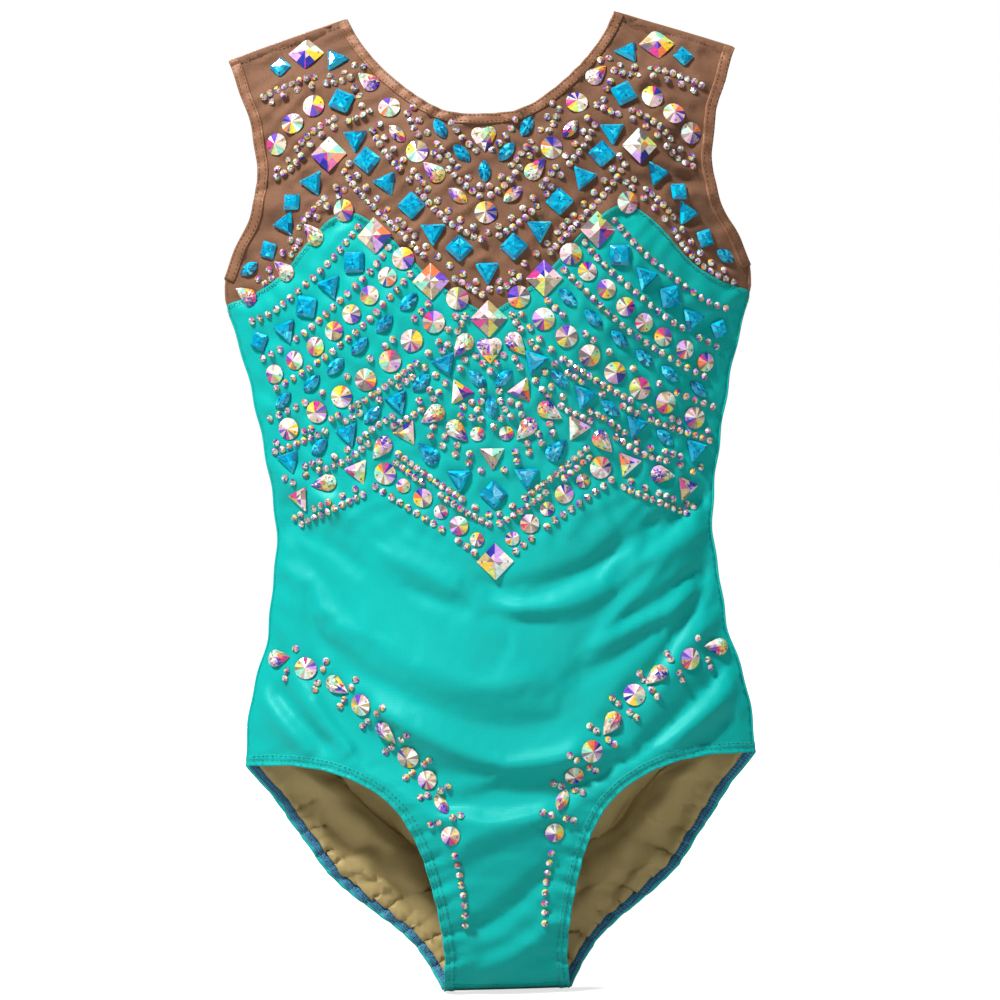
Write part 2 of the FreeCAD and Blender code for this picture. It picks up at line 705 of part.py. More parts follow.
class Crystals:
    """Places stones on the front skin and keeps beads clear of what is there already."""

    def __init__(self):
        self.surface = SKINS[FRONT].Shape.Faces[0].Surface
        self.outlines = []
        self.beads = []

    def edge_height(self, x):
        """The height of the front panel's heart-shaped top edge at one distance from the centre."""
        for (x0, z0), (x1, z1) in zip(HEART_LINE, HEART_LINE[1:]):
            if x0 <= abs(x) <= x1:
                return z0 + (z1 - z0) * (abs(x) - x0) / (x1 - x0)
        return HEART_LINE[-1][1]

    def placement(self, x, z, angle, on_mesh):
        """Flat on the fabric at a point, with the tip turned to an angle."""
        ray = Part.LineSegment(Vector(x, FRONT * size("reach"), z), Vector(x, -FRONT, z))
        hit = ray.intersectCS(self.surface)[0][0]
        point = Vector(hit.X, hit.Y, hit.Z)
        normal = self.surface.normal(*self.surface.parameter(point))
        if normal.y > 0:
            normal = -normal
        turn = math.radians(angle)
        tip = Vector(math.cos(turn), 0, math.sin(turn))
        tip = (tip - normal * tip.dot(normal)).normalize()
        if on_mesh:
            point.y += size("mesh_start")
        return Placement(point + normal * size("stone_lift"), Rotation(tip.cross(normal), tip, normal, "ZYX"))

    def place(self, master, x, z, angle):
        copy = master.Shape.copy()
        reach = max(copy.BoundBox.XMax, copy.BoundBox.YMax)
        lowest = min(self.edge_height(x - reach), self.edge_height(x), self.edge_height(x + reach))
        highest = max(self.edge_height(x - reach), self.edge_height(x), self.edge_height(x + reach))
        on_mesh = z - reach > highest or (z > highest and reach < 3) or z - reach > lowest + 12
        copy.Placement = self.placement(x, z, angle, on_mesh)
        return copy

    def add_stone(self, master, x, z, angle):
        copy = self.place(master, x, z, angle)
        base = min(copy.Faces, key=lambda face: face.CenterOfMass.distanceToPoint(copy.Placement.Base))
        self.outlines.append([(point.x, point.z) for point in base.OuterWire.discretize(24)])
        return copy

    def is_free(self, x, z, radius):
        """True where a bead overlaps no stone and no other bead."""
        for other_x, other_z in self.beads:
            if math.hypot(x - other_x, z - other_z) < 2 * radius + 0.15:
                return False
        return all(clear_of(outline, x, z, radius + 0.4) for outline in self.outlines)

    def add_string(self, rows, points, pitch):
        if len(points) > 2:
            path = curve(points)
        else:
            path = Part.LineSegment(Vector(*points[0], 0), Vector(*points[1], 0))
        count = max(1, round(path.length() / pitch))
        for row in range(rows):
            sideways = (row - (rows - 1) / 2) * size("bead_row_spacing")
            for step in range(count + 1 - row):
                gone = path.length() * (step + row / 2) / count
                where = path.parameterAtDistance(gone, path.FirstParameter)
                point, along = path.value(where), path.tangent(where)[0]
                self.add_bead(point.x - along.y * sideways, point.y + along.x * sideways)

    def add_bead(self, x, z):
        for twin_x in sorted({x, -x}, reverse=True):
            if self.is_free(twin_x, z, size("bead_radius")):
                self.beads.append((twin_x, z))


def clear_of(outline, x, z, distance):
    """True where a point is outside an outline and at least a distance away from it."""
    if abs(outline[0][0] - x) + abs(outline[0][1] - z) > size("longest_stone_reach"):
        return True
    inside = False
    for (x0, z0), (x1, z1) in zip(outline, outline[1:] + outline[:1]):
        along = ((x - x0) * (x1 - x0) + (z - z0) * (z1 - z0)) / ((x1 - x0) ** 2 + (z1 - z0) ** 2 + 1e-9)
        along = min(1, max(0, along))
        if math.hypot(x0 + along * (x1 - x0) - x, z0 + along * (z1 - z0) - z) < distance:
            return False
        if (z0 > z) != (z1 > z) and x < x0 + (x1 - x0) * (z - z0) / (z1 - z0):
            inside = not inside
    return not inside


def hip_pairs():
    """A bead on both sides of every gap in the trim that curves from hip to leg."""
    spots = [(z, x) for kind in STONES.values() for x, z, angle in kind]
    trim = sorted((spot for spot in spots if spot[0] < size("hip_trim_top")), reverse=True)
    inner, outer = size("hip_bead_inner"), size("hip_bead_outer")
    pairs = []
    for (z0, x0), (z1, x1) in zip(trim, trim[1:]):
        length = math.hypot(x1 - x0, z1 - z0)
        across = ((z1 - z0) / length, -(x1 - x0) / length)
        for away in (inner, outer, -inner, -outer):
            pairs.append(((x0 + x1) / 2 + across[0] * away, (z0 + z1) / 2 + across[1] * away))
    return pairs


def group(label, copies):
    """Identical stones in one node. Each is a copy of a sized master, set where it is sewn."""
    holder = doc.addObject("Part::Feature", label)
    holder.Shape = Part.makeCompound(copies)
    node(holder, label)


def crystals():
    field = Crystals()
    for label, spots in STONES.items():
        spots = spots + [(-x, z, 180 - angle) for x, z, angle in spots if x] + RIGHT_SIDE_ONLY.get(label, [])
        group(label, [field.add_stone(MASTERS[label], *spot) for spot in spots])
    for x, z in hip_pairs():
        field.add_bead(x, z)
    for rows, points in STRINGS:
        pitch = size("bead_pitch") if rows == 2 else size("single_bead_pitch")
        field.add_string(rows, points, pitch)
    yoke_beads = [(x, z) for x, z in field.beads if z > field.edge_height(x)]
    panel_beads = [(x, z) for x, z in field.beads if z <= field.edge_height(x)]
    group("yoke_beads", [field.place(BEAD, x, z, 90) for x, z in yoke_beads])
    for label, low, high in BEAD_REGIONS:
        group(label, [field.place(BEAD, x, z, 90) for x, z in panel_beads if low <= z < high])


# ---------------------------------------------------------------- build, check and export

def build():
    front, back = HALVES["front"], HALVES["back"]
    body_panel(front, HEART_LINE, True)
    body_panel(back, BACK_YOKE_LINE, False)
    yoke(front, HEART_LINE, True)
    yoke(back, BACK_YOKE_LINE, False)
    lining(front, HEART_LINE, True)
    lining(back, BACK_YOKE_LINE, False)
    crotch_gusset()
    leg_elastics()
    neck_binding()
    armhole_bindings()
    side_seams()
    shoulder_seams()
    crotch_seam()
    doc.recompute()
    crystals()
    doc.recompute()


def check():
    for thing in doc.Objects:
        if "Invalid" in thing.State or "Error" in thing.State:
            raise RuntimeError(f"{thing.Label} did not compute")
    for piece in PARTS:
        if piece.Shape.isNull() or not piece.Shape.isValid():
            raise RuntimeError(f"{piece.Label} has no valid shape")


def export():
    os.makedirs("parts", exist_ok=True)
    for piece in PARTS:
        piece.Shape.exportStep(os.path.join("parts", piece.Label + ".step"))
        print(piece.Label, len(piece.Shape.Solids), round(piece.Shape.Volume))


build()
check()
export()
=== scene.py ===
import math

import bpy
import numpy as np
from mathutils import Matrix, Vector
from mathutils.bvhtree import BVHTree
from mathutils.geometry import delaunay_2d_cdt


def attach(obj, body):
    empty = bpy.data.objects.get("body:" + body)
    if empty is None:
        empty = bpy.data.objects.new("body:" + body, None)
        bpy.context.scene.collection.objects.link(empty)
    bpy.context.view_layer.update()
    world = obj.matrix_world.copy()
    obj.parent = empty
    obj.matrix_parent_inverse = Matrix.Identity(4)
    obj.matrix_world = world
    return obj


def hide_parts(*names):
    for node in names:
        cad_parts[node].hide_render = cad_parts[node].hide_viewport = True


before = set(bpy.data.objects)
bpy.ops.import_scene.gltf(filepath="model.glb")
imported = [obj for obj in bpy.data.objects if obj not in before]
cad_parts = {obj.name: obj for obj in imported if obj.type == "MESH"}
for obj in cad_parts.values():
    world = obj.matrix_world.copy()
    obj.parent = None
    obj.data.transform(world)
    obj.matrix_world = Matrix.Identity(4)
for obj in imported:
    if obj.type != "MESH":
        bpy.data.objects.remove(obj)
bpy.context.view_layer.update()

# A crystal-covered gymnastics leotard, standing as it is worn, front towards -Y. Every piece is
# drawn on the skin of the CAD body, moved by one field of folds that fabric and crystals share.

MM = 0.001
FRONT, BACK = -1, 1
noise = np.random.default_rng(11)

# ------------------------------------------------------------------ outlines, in millimetres
# Each is drawn for the wearer's left side (+X), with the fabric to the right of the way it runs.

SHOULDER = [(85, 621), (161, 596)]
ARMHOLE = [(161, 596), (151, 565), (145, 522), (148, 498), (159, 479), (169, 458)]
FRONT_NECK = [(0, 553.6), (22, 556), (40, 566), (53, 577), (68, 593), (85, 621)]
BACK_NECK = [(0, 515), (18, 519), (35, 532), (52, 555), (70, 587), (85, 621)]
HEART = [(0, 427), (28.5, 445.5), (44.5, 460), (77, 491), (87, 494.5), (95.6, 491.5), (118.5, 470),
         (144, 448.5), (165.5, 441)]
BACK_TOP = [(0, 452), (60, 450), (120, 445), (165.5, 441)]
FRONT_LEG = [(163, 147), (130, 147.5), (87, 136), (64, 117), (50.6, 90), (42, 54), (38.5, 21), (40, 0.6)]
BACK_LEG = [(163, 147), (145, 123.5), (131.5, 104), (104, 66), (59, 27.5), (41, 0.6)]
LAP = 7
NECK_BINDING = 6.5
ARM_BINDING = 7
LEG_HEM = 7

# How deep each fabric layer lies under the outer skin, and its thickness, in millimetres.
PANEL_LAYER = (0.0, 0.55)
MESH_LAYER = (0.75, 0.4)
LINING_LAYER = (2.6, 0.4)
GUSSET_LAYER = (6.2, 0.4)
CAD_MESH_DEPTH = 0.9


def smooth(points, step=2.0):
    """Evenly spaced points, in millimetres, on a natural spline through the given points."""
    points = np.array(points, float)
    if len(points) == 2:
        count = max(2, int(np.hypot(*(points[1] - points[0])) / step))
        return points[0] + (points[1] - points[0]) * np.linspace(0, 1, count)[:, None]
    knots = np.concatenate([[0], np.cumsum(np.hypot(*np.diff(points, axis=0).T))])
    gaps = np.diff(knots)
    size = len(points)
    matrix = np.eye(size)
    right = np.zeros((size, 2))
    for i in range(1, size - 1):
        matrix[i, i - 1:i + 2] = gaps[i - 1], 2 * (gaps[i - 1] + gaps[i]), gaps[i]
        right[i] = 6 * ((points[i + 1] - points[i]) / gaps[i] - (points[i] - points[i - 1]) / gaps[i - 1])
    bend = np.linalg.solve(matrix, right)
    t = np.linspace(0, knots[-1], max(2, int(knots[-1] / step)))
    i = np.clip(np.searchsorted(knots, t, side="right") - 1, 0, size - 2)
    h, a, b = gaps[i][:, None], (knots[i + 1] - t)[:, None], (t - knots[i])[:, None]
    line = bend[i] * a**3 / (6 * h) + bend[i + 1] * b**3 / (6 * h)
    line += (points[i] / h - bend[i] * h / 6) * a + (points[i + 1] / h - bend[i + 1] * h / 6) * b
    return line


def flipped(line):
    return line * [-1, 1]


def whole(line):
    """A line from the centre to the left side, continued over the right side."""
    return np.concatenate([flipped(line)[::-1], line[1:]])


def sideways(line):
    """Unit vectors into the fabric, to the right of the way a line runs."""
    along = np.gradient(line, axis=0)
    along /= np.maximum(np.hypot(*along.T), 1e-9)[:, None]
    return np.column_stack([along[:, 1], -along[:, 0]])


def inside(outline, x, z):
    """True for the points that an outline encloses."""
    found = np.zeros(x.shape, bool)
    for (x0, z0), (x1, z1) in zip(outline, np.roll(outline, -1, axis=0)):
        if z0 == z1:
            continue
        crossing = x0 + (x1 - x0) * (z - z0) / (z1 - z0)
        found ^= ((z0 > z) != (z1 > z)) & (x < crossing)
    return found


def distance(line, x, z):
    """The distance from each point to a line's nearest point, in millimetres."""
    best = np.full(x.shape, 1e9)
    for px, pz in line:
        best = np.minimum(best, (x - px) ** 2 + (z - pz) ** 2)
    return np.sqrt(best)


# ------------------------------------------------------------------ the CAD body's skin

class Skin:
    """The outer surface of one side of the CAD body: a shallow arc at every height."""

    def __init__(self, side, panel, yoke):
        self.side = side
        edges = ["neck_binding", "left_armhole_binding", "right_armhole_binding", "left_side_seam",
                 "right_side_seam", "left_shoulder_seam", "right_shoulder_seam"]
        outer = [self.tree(name) for name in [panel] + edges]
        mesh = self.tree(yoke)
        heights, widths, depths = [], [], []
        for z in np.arange(4, 620, 4):
            hits = [hit for x in np.arange(-166, 167, 8) for hit in self.hits(outer, mesh, x, z)]
            if len(hits) < 4:
                continue
            x, y = np.array(hits).T
            terms = np.column_stack([2 * y, np.ones(len(y))])
            (centre, square), *_ = np.linalg.lstsq(terms, x**2 + y**2, rcond=None)
            heights.append(z)
            widths.append(math.sqrt(square))
            depths.append(abs(centre + side * math.sqrt(centre**2 + square)))
        self.heights, self.widths, self.depths = heights, widths, depths

    def tree(self, name):
        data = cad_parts[name].data
        return BVHTree.FromPolygons([v.co for v in data.vertices], [p.vertices for p in data.polygons])

    def hits(self, outer, mesh, x, z):
        """Where a ray from outside meets this side's fabric. The yoke lies under the skin."""
        start = Vector((x * MM, self.side * 0.2, z * MM))
        ahead = Vector((0, -self.side, 0))
        found = [tree.ray_cast(start, ahead)[0] for tree in outer]
        found = [hit.y / MM for hit in found if hit and hit.y * self.side > 1 * MM]
        under = mesh.ray_cast(start, ahead)[0]
        if under and under.y * self.side > 1 * MM:
            found.append(under.y / MM + self.side * CAD_MESH_DEPTH)
        return [(x, max(found, key=lambda y: y * self.side))] if found else []

    def half_width(self, z):
        return np.interp(z, self.heights, self.widths)

    def y(self, x, z):
        """The skin's distance from the middle plane, in millimetres, towards its side."""
        width = self.half_width(z)
        depth = np.interp(z, [0] + self.heights, [0.8] + self.depths)
        radius = (width**2 + depth**2) / (2 * depth)
        rise = np.sqrt(np.maximum(radius**2 - np.minimum(np.abs(x), width) ** 2, 0)) - (radius - depth)
        return self.side * np.maximum(rise, 0)


SKINS = {
    FRONT: Skin(FRONT, "front_body_panel", "front_yoke"),
    BACK: Skin(BACK, "back_body_panel", "back_yoke"),
}


def side_edge(low, high, inset=0.0):
    """The left side of the body between two heights, upwards."""
    z = np.linspace(low, high, max(2, int(abs(high - low) / 3)))
    return np.column_stack([SKINS[FRONT].half_width(z) - inset, z])


# ------------------------------------------------------------------ where the stones are

def separate_solids(node):
    """The corner points, in millimetres, of every solid in a CAD node."""
    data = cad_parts[node].data
    points = np.array([v.co for v in data.vertices])
    points, welded = np.unique(np.round(points / MM, 3), axis=0, return_inverse=True)
    welded = welded.ravel()
    edges = welded[np.array([e.vertices for e in data.edges])]
    label = np.arange(len(points))
    while True:
        low = np.minimum(label[edges[:, 0]], label[edges[:, 1]])
        before = label.copy()
        np.minimum.at(label, edges[:, 0], low)
        np.minimum.at(label, edges[:, 1], low)
        label = label[label]
        if (label == before).all():
            break
    return [points[label == group] for group in np.unique(label)]


def stone_middles(names):
    """The place and the radius of every stone in some CAD nodes, seen from the front."""
    spots = []
    for name in names:
        for points in STONES[name]:
            low, high = points.min(axis=0), points.max(axis=0)
            spots.append((*((low + high) / 2)[[0, 2]], (high - low)[[0, 2]].mean() / 2))
    return spots


BEAD_NODES = ("yoke_beads", "upper_bodice_beads", "lower_bodice_beads", "hip_beads")
STONES = {name: separate_solids(name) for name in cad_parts
          if name.endswith(("_stones", "_rivolis")) or name in BEAD_NODES}
SEWN = stone_middles([name for name in STONES if name not in BEAD_NODES])


# ------------------------------------------------------------------ folds

def crease(x, z, points, width, height):
    """A soft ridge (a groove, where the height is negative) along a curve, fading at its ends."""
    line = smooth(points, 4)
    gap, along = np.full(x.shape, 1e9), np.zeros(x.shape)
    for place, (px, pz) in zip(np.linspace(0, 1, len(line)), line):
        here = (x - px) ** 2 + (z - pz) ** 2
        along = np.where(here < gap, place, along)
        gap = np.minimum(gap, here)
    fade = np.clip(np.minimum(along, 1 - along) * 4 + 0.1, 0, 1)
    return height * np.exp(-gap / width**2) * fade * fade * (3 - 2 * fade)


def ripple(z, away, reach, pitch, height, phase=0.0):
    """Short gathers that run away from an edge and fade with the distance from it."""
    return height * np.exp(-((away / reach) ** 2)) * np.sin(2 * math.pi * z / pitch + phase)


# Each crease: the points of its line, its width and its height, in millimetres.
FRONT_CREASES = [
    ([(-136, 230), (-84, 206), (-36, 183), (20, 173), (78, 182)], 9, -5.0),
    ([(-100, 200), (-60, 180), (-14, 158), (40, 153), (88, 160)], 9, 5.0),
    ([(-140, 256), (-96, 236), (-50, 214), (0, 200), (50, 206)], 10, 3.0),
    ([(-24, 262), (18, 257), (58, 268), (94, 292)], 7, -4.0),
    ([(-6, 245), (40, 247), (90, 266)], 8, 3.6),
    ([(-66, 266), (-28, 247), (14, 238), (46, 238)], 6, -2.8),
    ([(-80, 284), (-40, 268), (-16, 254)], 7, 2.4),
    ([(34, 194), (70, 211), (114, 238)], 8, -3.8),
    ([(50, 214), (90, 231), (134, 257)], 7, 3.2),
    ([(68, 232), (104, 249), (142, 273)], 7, -3.2),
    ([(144, 300), (108, 278), (72, 262)], 8, 3.0),
    ([(146, 318), (110, 298), (84, 288)], 7, -2.6),
    ([(146, 236), (118, 214), (92, 186)], 8, 3.0),
    ([(-156, 196), (-118, 152)], 6, 3.0),
    ([(-146, 202), (-104, 152)], 6, -3.0),
    ([(-128, 200), (-90, 150)], 6, 2.6),
    ([(156, 194), (100, 150)], 6, 3.0),
    ([(150, 208), (84, 150)], 6, -3.0),
    ([(152, 174), (124, 150)], 5, -2.4),
    ([(-48, 118), (0, 134), (50, 137)], 8, -3.0),
    ([(-42, 88), (-8, 106), (36, 116)], 8, 2.8),
    ([(-34, 34), (0, 54), (40, 92)], 8, -3.0),
    ([(-26, 10), (12, 30), (40, 54)], 7, 2.6),
    ([(-40, 70), (-24, 46), (-22, 16)], 6, 2.0),
    ([(-154, 340), (-120, 322), (-86, 300)], 8, 2.6),
    ([(-146, 312), (-110, 292), (-76, 264)], 8, -2.8),
    ([(-150, 284), (-120, 262), (-104, 236)], 8, 2.2),
]
YOKE_CREASES = [
    ([(-152, 500), (-122, 506), (-96, 524)], 5, 2.4),
    ([(-148, 514), (-84, 508)], 5, -2.2),
    ([(-96, 508), (-66, 484), (-40, 470)], 4, 2.6),
    ([(-88, 516), (-58, 494), (-30, 484)], 4, -2.2),
    ([(-134, 560), (-104, 534), (-70, 520)], 5, 2.2),
    ([(-60, 500), (-30, 474), (0, 456)], 4, 2.4),
    ([(152, 498), (122, 504), (94, 520)], 5, 2.4),
    ([(148, 512), (84, 508)], 5, -2.2),
    ([(96, 506), (66, 482), (40, 468)], 4, 2.6),
    ([(88, 514), (58, 492), (28, 482)], 4, -2.2),
    ([(136, 562), (104, 536), (70, 524)], 5, 2.2),
    ([(60, 502), (30, 476), (4, 458)], 4, 2.4),
    ([(-122, 590), (-82, 560)], 5, 2.0),
    ([(122, 592), (84, 562)], 5, 2.0),
    ([(-70, 560), (-34, 530)], 4, 1.8),
    ([(70, 560), (30, 528)], 4, 1.8),
    ([(-30, 530), (24, 520)], 4, -1.8),
    ([(-152, 478), (-112, 492)], 4, -2.0),
    ([(152, 478), (112, 492)], 4, -2.0),
    ([(-140, 540), (-116, 520)], 4, -1.8),
    ([(140, 540), (116, 520)], 4, -1.8),
]
BACK_CREASES = [
    ([(-142, 300), (-80, 274), (0, 262), (80, 274), (142, 300)], 10, 3.6),
    ([(-124, 284), (0, 244), (124, 284)], 9, -3.2),
    ([(0, 246), (3, 170), (0, 90)], 12, -3.2),
    ([(-150, 226), (-104, 196), (-60, 150)], 11, 2.8),
    ([(150, 226), (104, 196), (60, 150)], 11, 2.8),
    ([(-120, 140), (-76, 108), (-40, 66)], 9, 2.4),
    ([(120, 140), (76, 108), (40, 66)], 9, 2.4),
    ([(-152, 360), (-60, 330)], 9, 2.4),
    ([(152, 360), (60, 330)], 9, 2.4),
    ([(-110, 420), (0, 400)], 10, 2.2),
    ([(0, 396), (110, 424)], 9, -2.2),
    ([(-130, 500), (-60, 476)], 8, 2.2),
    ([(130, 500), (60, 476)], 8, 2.2),
    ([(-146, 334), (-70, 312)], 8, -2.2),
    ([(146, 334), (70, 312)], 8, -2.2),
]


def settled(side, x, z):
    """A share from 0 at the side seams and the crotch seam to 1 a little away from them."""
    near_side = SKINS[side].half_width(z) - np.abs(x)
    return np.clip(np.minimum(near_side, z) / 9, 0, 1)


def designed_folds(side, x, z):
    """How far the fabric stands out from the skin before it is simulated, in millimetres."""
    lines = FRONT_CREASES + YOKE_CREASES if side == FRONT else BACK_CREASES
    out = 1.3 * sum(crease(x, z, *line) for line in lines)
    out = out + 0.8 * np.sin(x / 17 + 2.1 * np.sin(z / 41)) * np.sin(z / 21 + 1.3 * np.sin(x / 37))
    return out * settled(side, x, z)


def puckers(x, z):
    """Small hollows where stones are sewn down, with the fabric swelling between them."""
    under = np.zeros(x.shape)
    for px, pz, radius in SEWN:
        near = ((x - px) ** 2 + (z - pz) ** 2) / (radius + 2.2) ** 2
        under = np.maximum(under, np.exp(-near * near))
    busy = np.clip((z - 276) / 16, 0, 1)
    rough = np.sin(x / 2.9 + 1.7 * np.sin(z / 9)) * np.sin(z / 3.3 + 1.9 * np.sin(x / 11))
    rough = rough + 0.7 * np.sin((x + 0.6 * z) / 4.1) * np.sin((z - 0.5 * x) / 6.3)
    mesh = np.clip((z - 446 - 0.35 * np.abs(x)) / 14, 0, 1)
    slant = (z + 0.55 * np.abs(x)) / 1.75 + 1.6 * np.sin(x / 13) + 1.2 * np.sin(z / 17 + x / 29)
    drawn = np.sin(slant) * (0.6 + 0.4 * np.sin(x / 7.5 + z / 23))
    free = 1 - under
    return (0.6 * busy * rough + 1.6 * mesh * drawn) * free - 1.5 * (1 + 0.5 * mesh) * under


def fine_folds(side, x, z):
    """Gathers along the edges and puckers at the stones: too small for the simulated grid."""
    leg = smooth(FRONT_LEG if side == FRONT else BACK_LEG, 3)
    near_leg = distance(leg, np.abs(x), z)
    near_arm = distance(smooth(ARMHOLE, 3), np.abs(x), z)
    near_side = SKINS[side].half_width(z) - np.abs(x)
    low = np.clip((150 - z) / 60, 0.25, 1)
    out = ripple(z + 0.35 * np.abs(x), near_leg, 15, 9.5, 1.0 * low, 1.6 * np.sin(z / 19))
    out = out + ripple(z + 0.2 * np.abs(x), near_leg, 26, 17, 0.8 * low, 1.1 * np.sin(x / 15))
    arm_gathers = ripple(z + 0.12 * np.abs(x), near_arm, 24, 13, 1.1, 1.3 * np.sin(x / 23 + z / 31))
    out = out + arm_gathers * np.clip((near_arm - 5) / 9, 0.15, 1)
    out = out + ripple(z + 0.5 * near_side, near_side, 16, 19, 0.7, 1.7 * np.sin(z / 47))
    if side == FRONT:
        out = out + puckers(x, z)
    return out * settled(side, x, z)


def wavering(side, x, z):
    """Small moves of the edges within the fabric, sideways and up, in millimetres."""
    swing = 0.8 * np.sin(z / 13 + 1.2 * np.sin(z / 37)) + 0.5 * np.sin(z / 5.3)
    leg = smooth(FRONT_LEG if side == FRONT else BACK_LEG, 3)
    gathered = np.exp(-((distance(leg, np.abs(x), z) / 9) ** 2)) * np.clip(z / 20, 0, 1)
    gathered = gathered * settled(side, x, z)
    scallop = (0.9 if side == BACK else 0.25) * np.sin((0.7 * np.abs(x) + z) / 2.9) * gathered
    return np.sign(x) * (swing * np.clip(np.abs(x) / 120 - 0.2, 0, 1) + scallop), scallop


def cubic(values, places):
    """Values along the first axis at fractional places, on smooth cubic pieces."""
    base = np.floor(places).astype(int)
    t = (places - base).reshape((-1,) + (1,) * (values.ndim - 1))
    a, b, c, d = (values[np.clip(base + shift, 0, len(values) - 1)] for shift in (-1, 0, 1, 2))
    return b + 0.5 * t * (c - a + t * (2 * a - 5 * b + 4 * c - d + t * (3 * (b - c) + d - a)))


def broad(field, spread):
    """A field smoothed over a wide area, with Gaussian weights along both of its directions."""
    weights = []
    for count in field.shape:
        index = np.arange(count)
        weights.append(np.exp(-0.5 * ((index[:, None] - index) / spread) ** 2))
    return weights[0] @ field @ weights[1]


class Drape:
    """The fabric's movement off the skin, kept on a grid and looked up for any point."""
    STEP = 4.0
    FINE = 1.5

    def __init__(self, side):
        self.side = side
        self.x = np.arange(-180, 181, self.STEP)
        self.z = np.arange(0, 625, self.STEP)
        gx, gz = np.meshgrid(self.x, self.z)
        self.moves = np.zeros(gx.shape + (3,))
        self.moves[..., 1] = side * designed_folds(side, gx, gz)
        self.simulate(gx, gz)
        self.fine_x = np.arange(-180, 180, self.FINE)
        self.fine_z = np.arange(0, 624, self.FINE)
        field = cubic(self.moves, self.fine_z / self.STEP)
        self.field = cubic(field.swapaxes(0, 1), (self.fine_x + 180) / self.STEP).swapaxes(0, 1)
        gx, gz = np.meshgrid(self.fine_x, self.fine_z)
        across, up = wavering(side, gx, gz)
        self.field[..., 0] += across
        self.field[..., 1] += side * fine_folds(side, gx, gz)
        self.field[..., 2] += up

    def outline(self):
        neck, leg = (FRONT_NECK, FRONT_LEG) if self.side == FRONT else (BACK_NECK, BACK_LEG)
        half = [smooth(neck), smooth(SHOULDER), smooth(ARMHOLE), side_edge(458, 147), smooth(leg)]
        half = np.concatenate(half)
        return np.concatenate([half, flipped(half)[::-1]])

    def simulate(self, gx, gz):
        """Cloth a little too large for its pinned edges, blown out softly, settles into wrinkles."""
        outline = self.outline()
        kept = inside(outline, gx, gz)
        number = np.full(gx.shape, -1)
        number[kept] = np.arange(kept.sum())
        corners = np.stack([number[:-1, :-1], number[:-1, 1:], number[1:, 1:], number[1:, :-1]], axis=-1)
        faces = corners.reshape(-1, 4)
        faces = faces[(faces >= 0).all(axis=1)]
        if self.side == BACK:
            faces = faces[:, ::-1]
        rest = np.stack([gx, SKINS[self.side].y(gx, gz), gz], axis=-1)
        start = (rest + self.moves)[kept] * MM
        cloth = mesh_object(f"control_{self.side}", start, faces.tolist())
        edge = distance(outline[::2], gx, gz)[kept]
        pins = cloth.vertex_groups.new(name="pins")
        slack = cloth.vertex_groups.new(name="slack")
        stones = np.clip((gz[kept] - 262) / 30, 0, 1) if self.side == FRONT else 0 * edge
        hold = np.clip(1 - (edge - 3) / 9, 0, 1)
        hold = np.maximum(hold, 0.16 * stones)
        for index, (held, loose) in enumerate(zip(hold, 1 - 0.75 * stones)):
            pins.add([index], float(held), "REPLACE")
            slack.add([index], float(loose), "REPLACE")
        settle(cloth)
        moved = positions(cloth) / MM - rest[kept]
        moved -= 0.35 * np.clip(np.abs(moved) - 6, 0, None) * np.sign(moved)
        self.moves[kept] = moved
        bpy.data.objects.remove(cloth)
        # Only the folds are kept: a broad sag would make the leotard flatter than it is.
        sag = broad(self.moves[..., 1] * kept, 10) / broad(kept.astype(float), 10)
        self.moves[kept, 1] -= sag[kept] * np.clip((edge - 3) / 40, 0, 1)

    def at(self, x, z):
        """The movement at each point, in millimetres, from the four grid points around it."""
        u = np.clip((x - self.fine_x[0]) / self.FINE, 0, len(self.fine_x) - 1.001)
        v = np.clip((z - self.fine_z[0]) / self.FINE, 0, len(self.fine_z) - 1.001)
        i, j = u.astype(int), v.astype(int)
        u, v = (u - i)[..., None], (v - j)[..., None]
        low = self.field[j, i] * (1 - u) + self.field[j, i + 1] * u
        high = self.field[j + 1, i] * (1 - u) + self.field[j + 1, i + 1] * u
        return low * (1 - v) + high * v


# ------------------------------------------------------------------ meshes

def mesh_object(name, vertices, faces):
    data = bpy.data.meshes.new(name)
    data.from_pydata([tuple(v) for v in np.asarray(vertices)], [], faces)
    data.update()
    obj = bpy.data.objects.new(name, data)
    bpy.context.scene.collection.objects.link(obj)
    return obj


def positions(obj):
    out = np.empty(len(obj.data.vertices) * 3)
    obj.data.vertices.foreach_get("co", out)
    return out.reshape(-1, 3)


def apply_modifiers(obj):
    bpy.context.view_layer.update()
    shape = bpy.data.meshes.new_from_object(obj.evaluated_get(bpy.context.evaluated_depsgraph_get()))
    obj.modifiers.clear()
    old, obj.data = obj.data, shape
    bpy.data.meshes.remove(old)


def settle(cloth):
    """Runs a cloth simulation on an object and keeps its last frame."""
    modifier = cloth.modifiers.new("cloth", "CLOTH")
    rules = modifier.settings
    rules.quality = 6
    rules.mass = 0.15
    rules.tension_stiffness = rules.compression_stiffness = 12
    rules.shear_stiffness = 8
    rules.bending_stiffness = 1.2
    rules.tension_damping = rules.compression_damping = rules.shear_damping = 8
    rules.bending_damping = 1.0
    rules.air_damping = 4
    rules.vertex_group_mass = "pins"
    rules.pin_stiffness = 1.5
    rules.vertex_group_shrink = "slack"
    rules.shrink_min = 0.0
    rules.shrink_max = -0.022
    rules.use_pressure = True
    rules.uniform_pressure_force = 0.25
    rules.effector_weights.gravity = 0.15
    modifier.collision_settings.use_collision = False
    last = 36
    modifier.point_cache.frame_start = 1
    modifier.point_cache.frame_end = last
    scene = bpy.context.scene
    for number in range(1, last + 1):
        scene.frame_set(number)
    apply_modifiers(cloth)
    scene.frame_set(1)


DRAPES = {side: Drape(side) for side in (FRONT, BACK)}


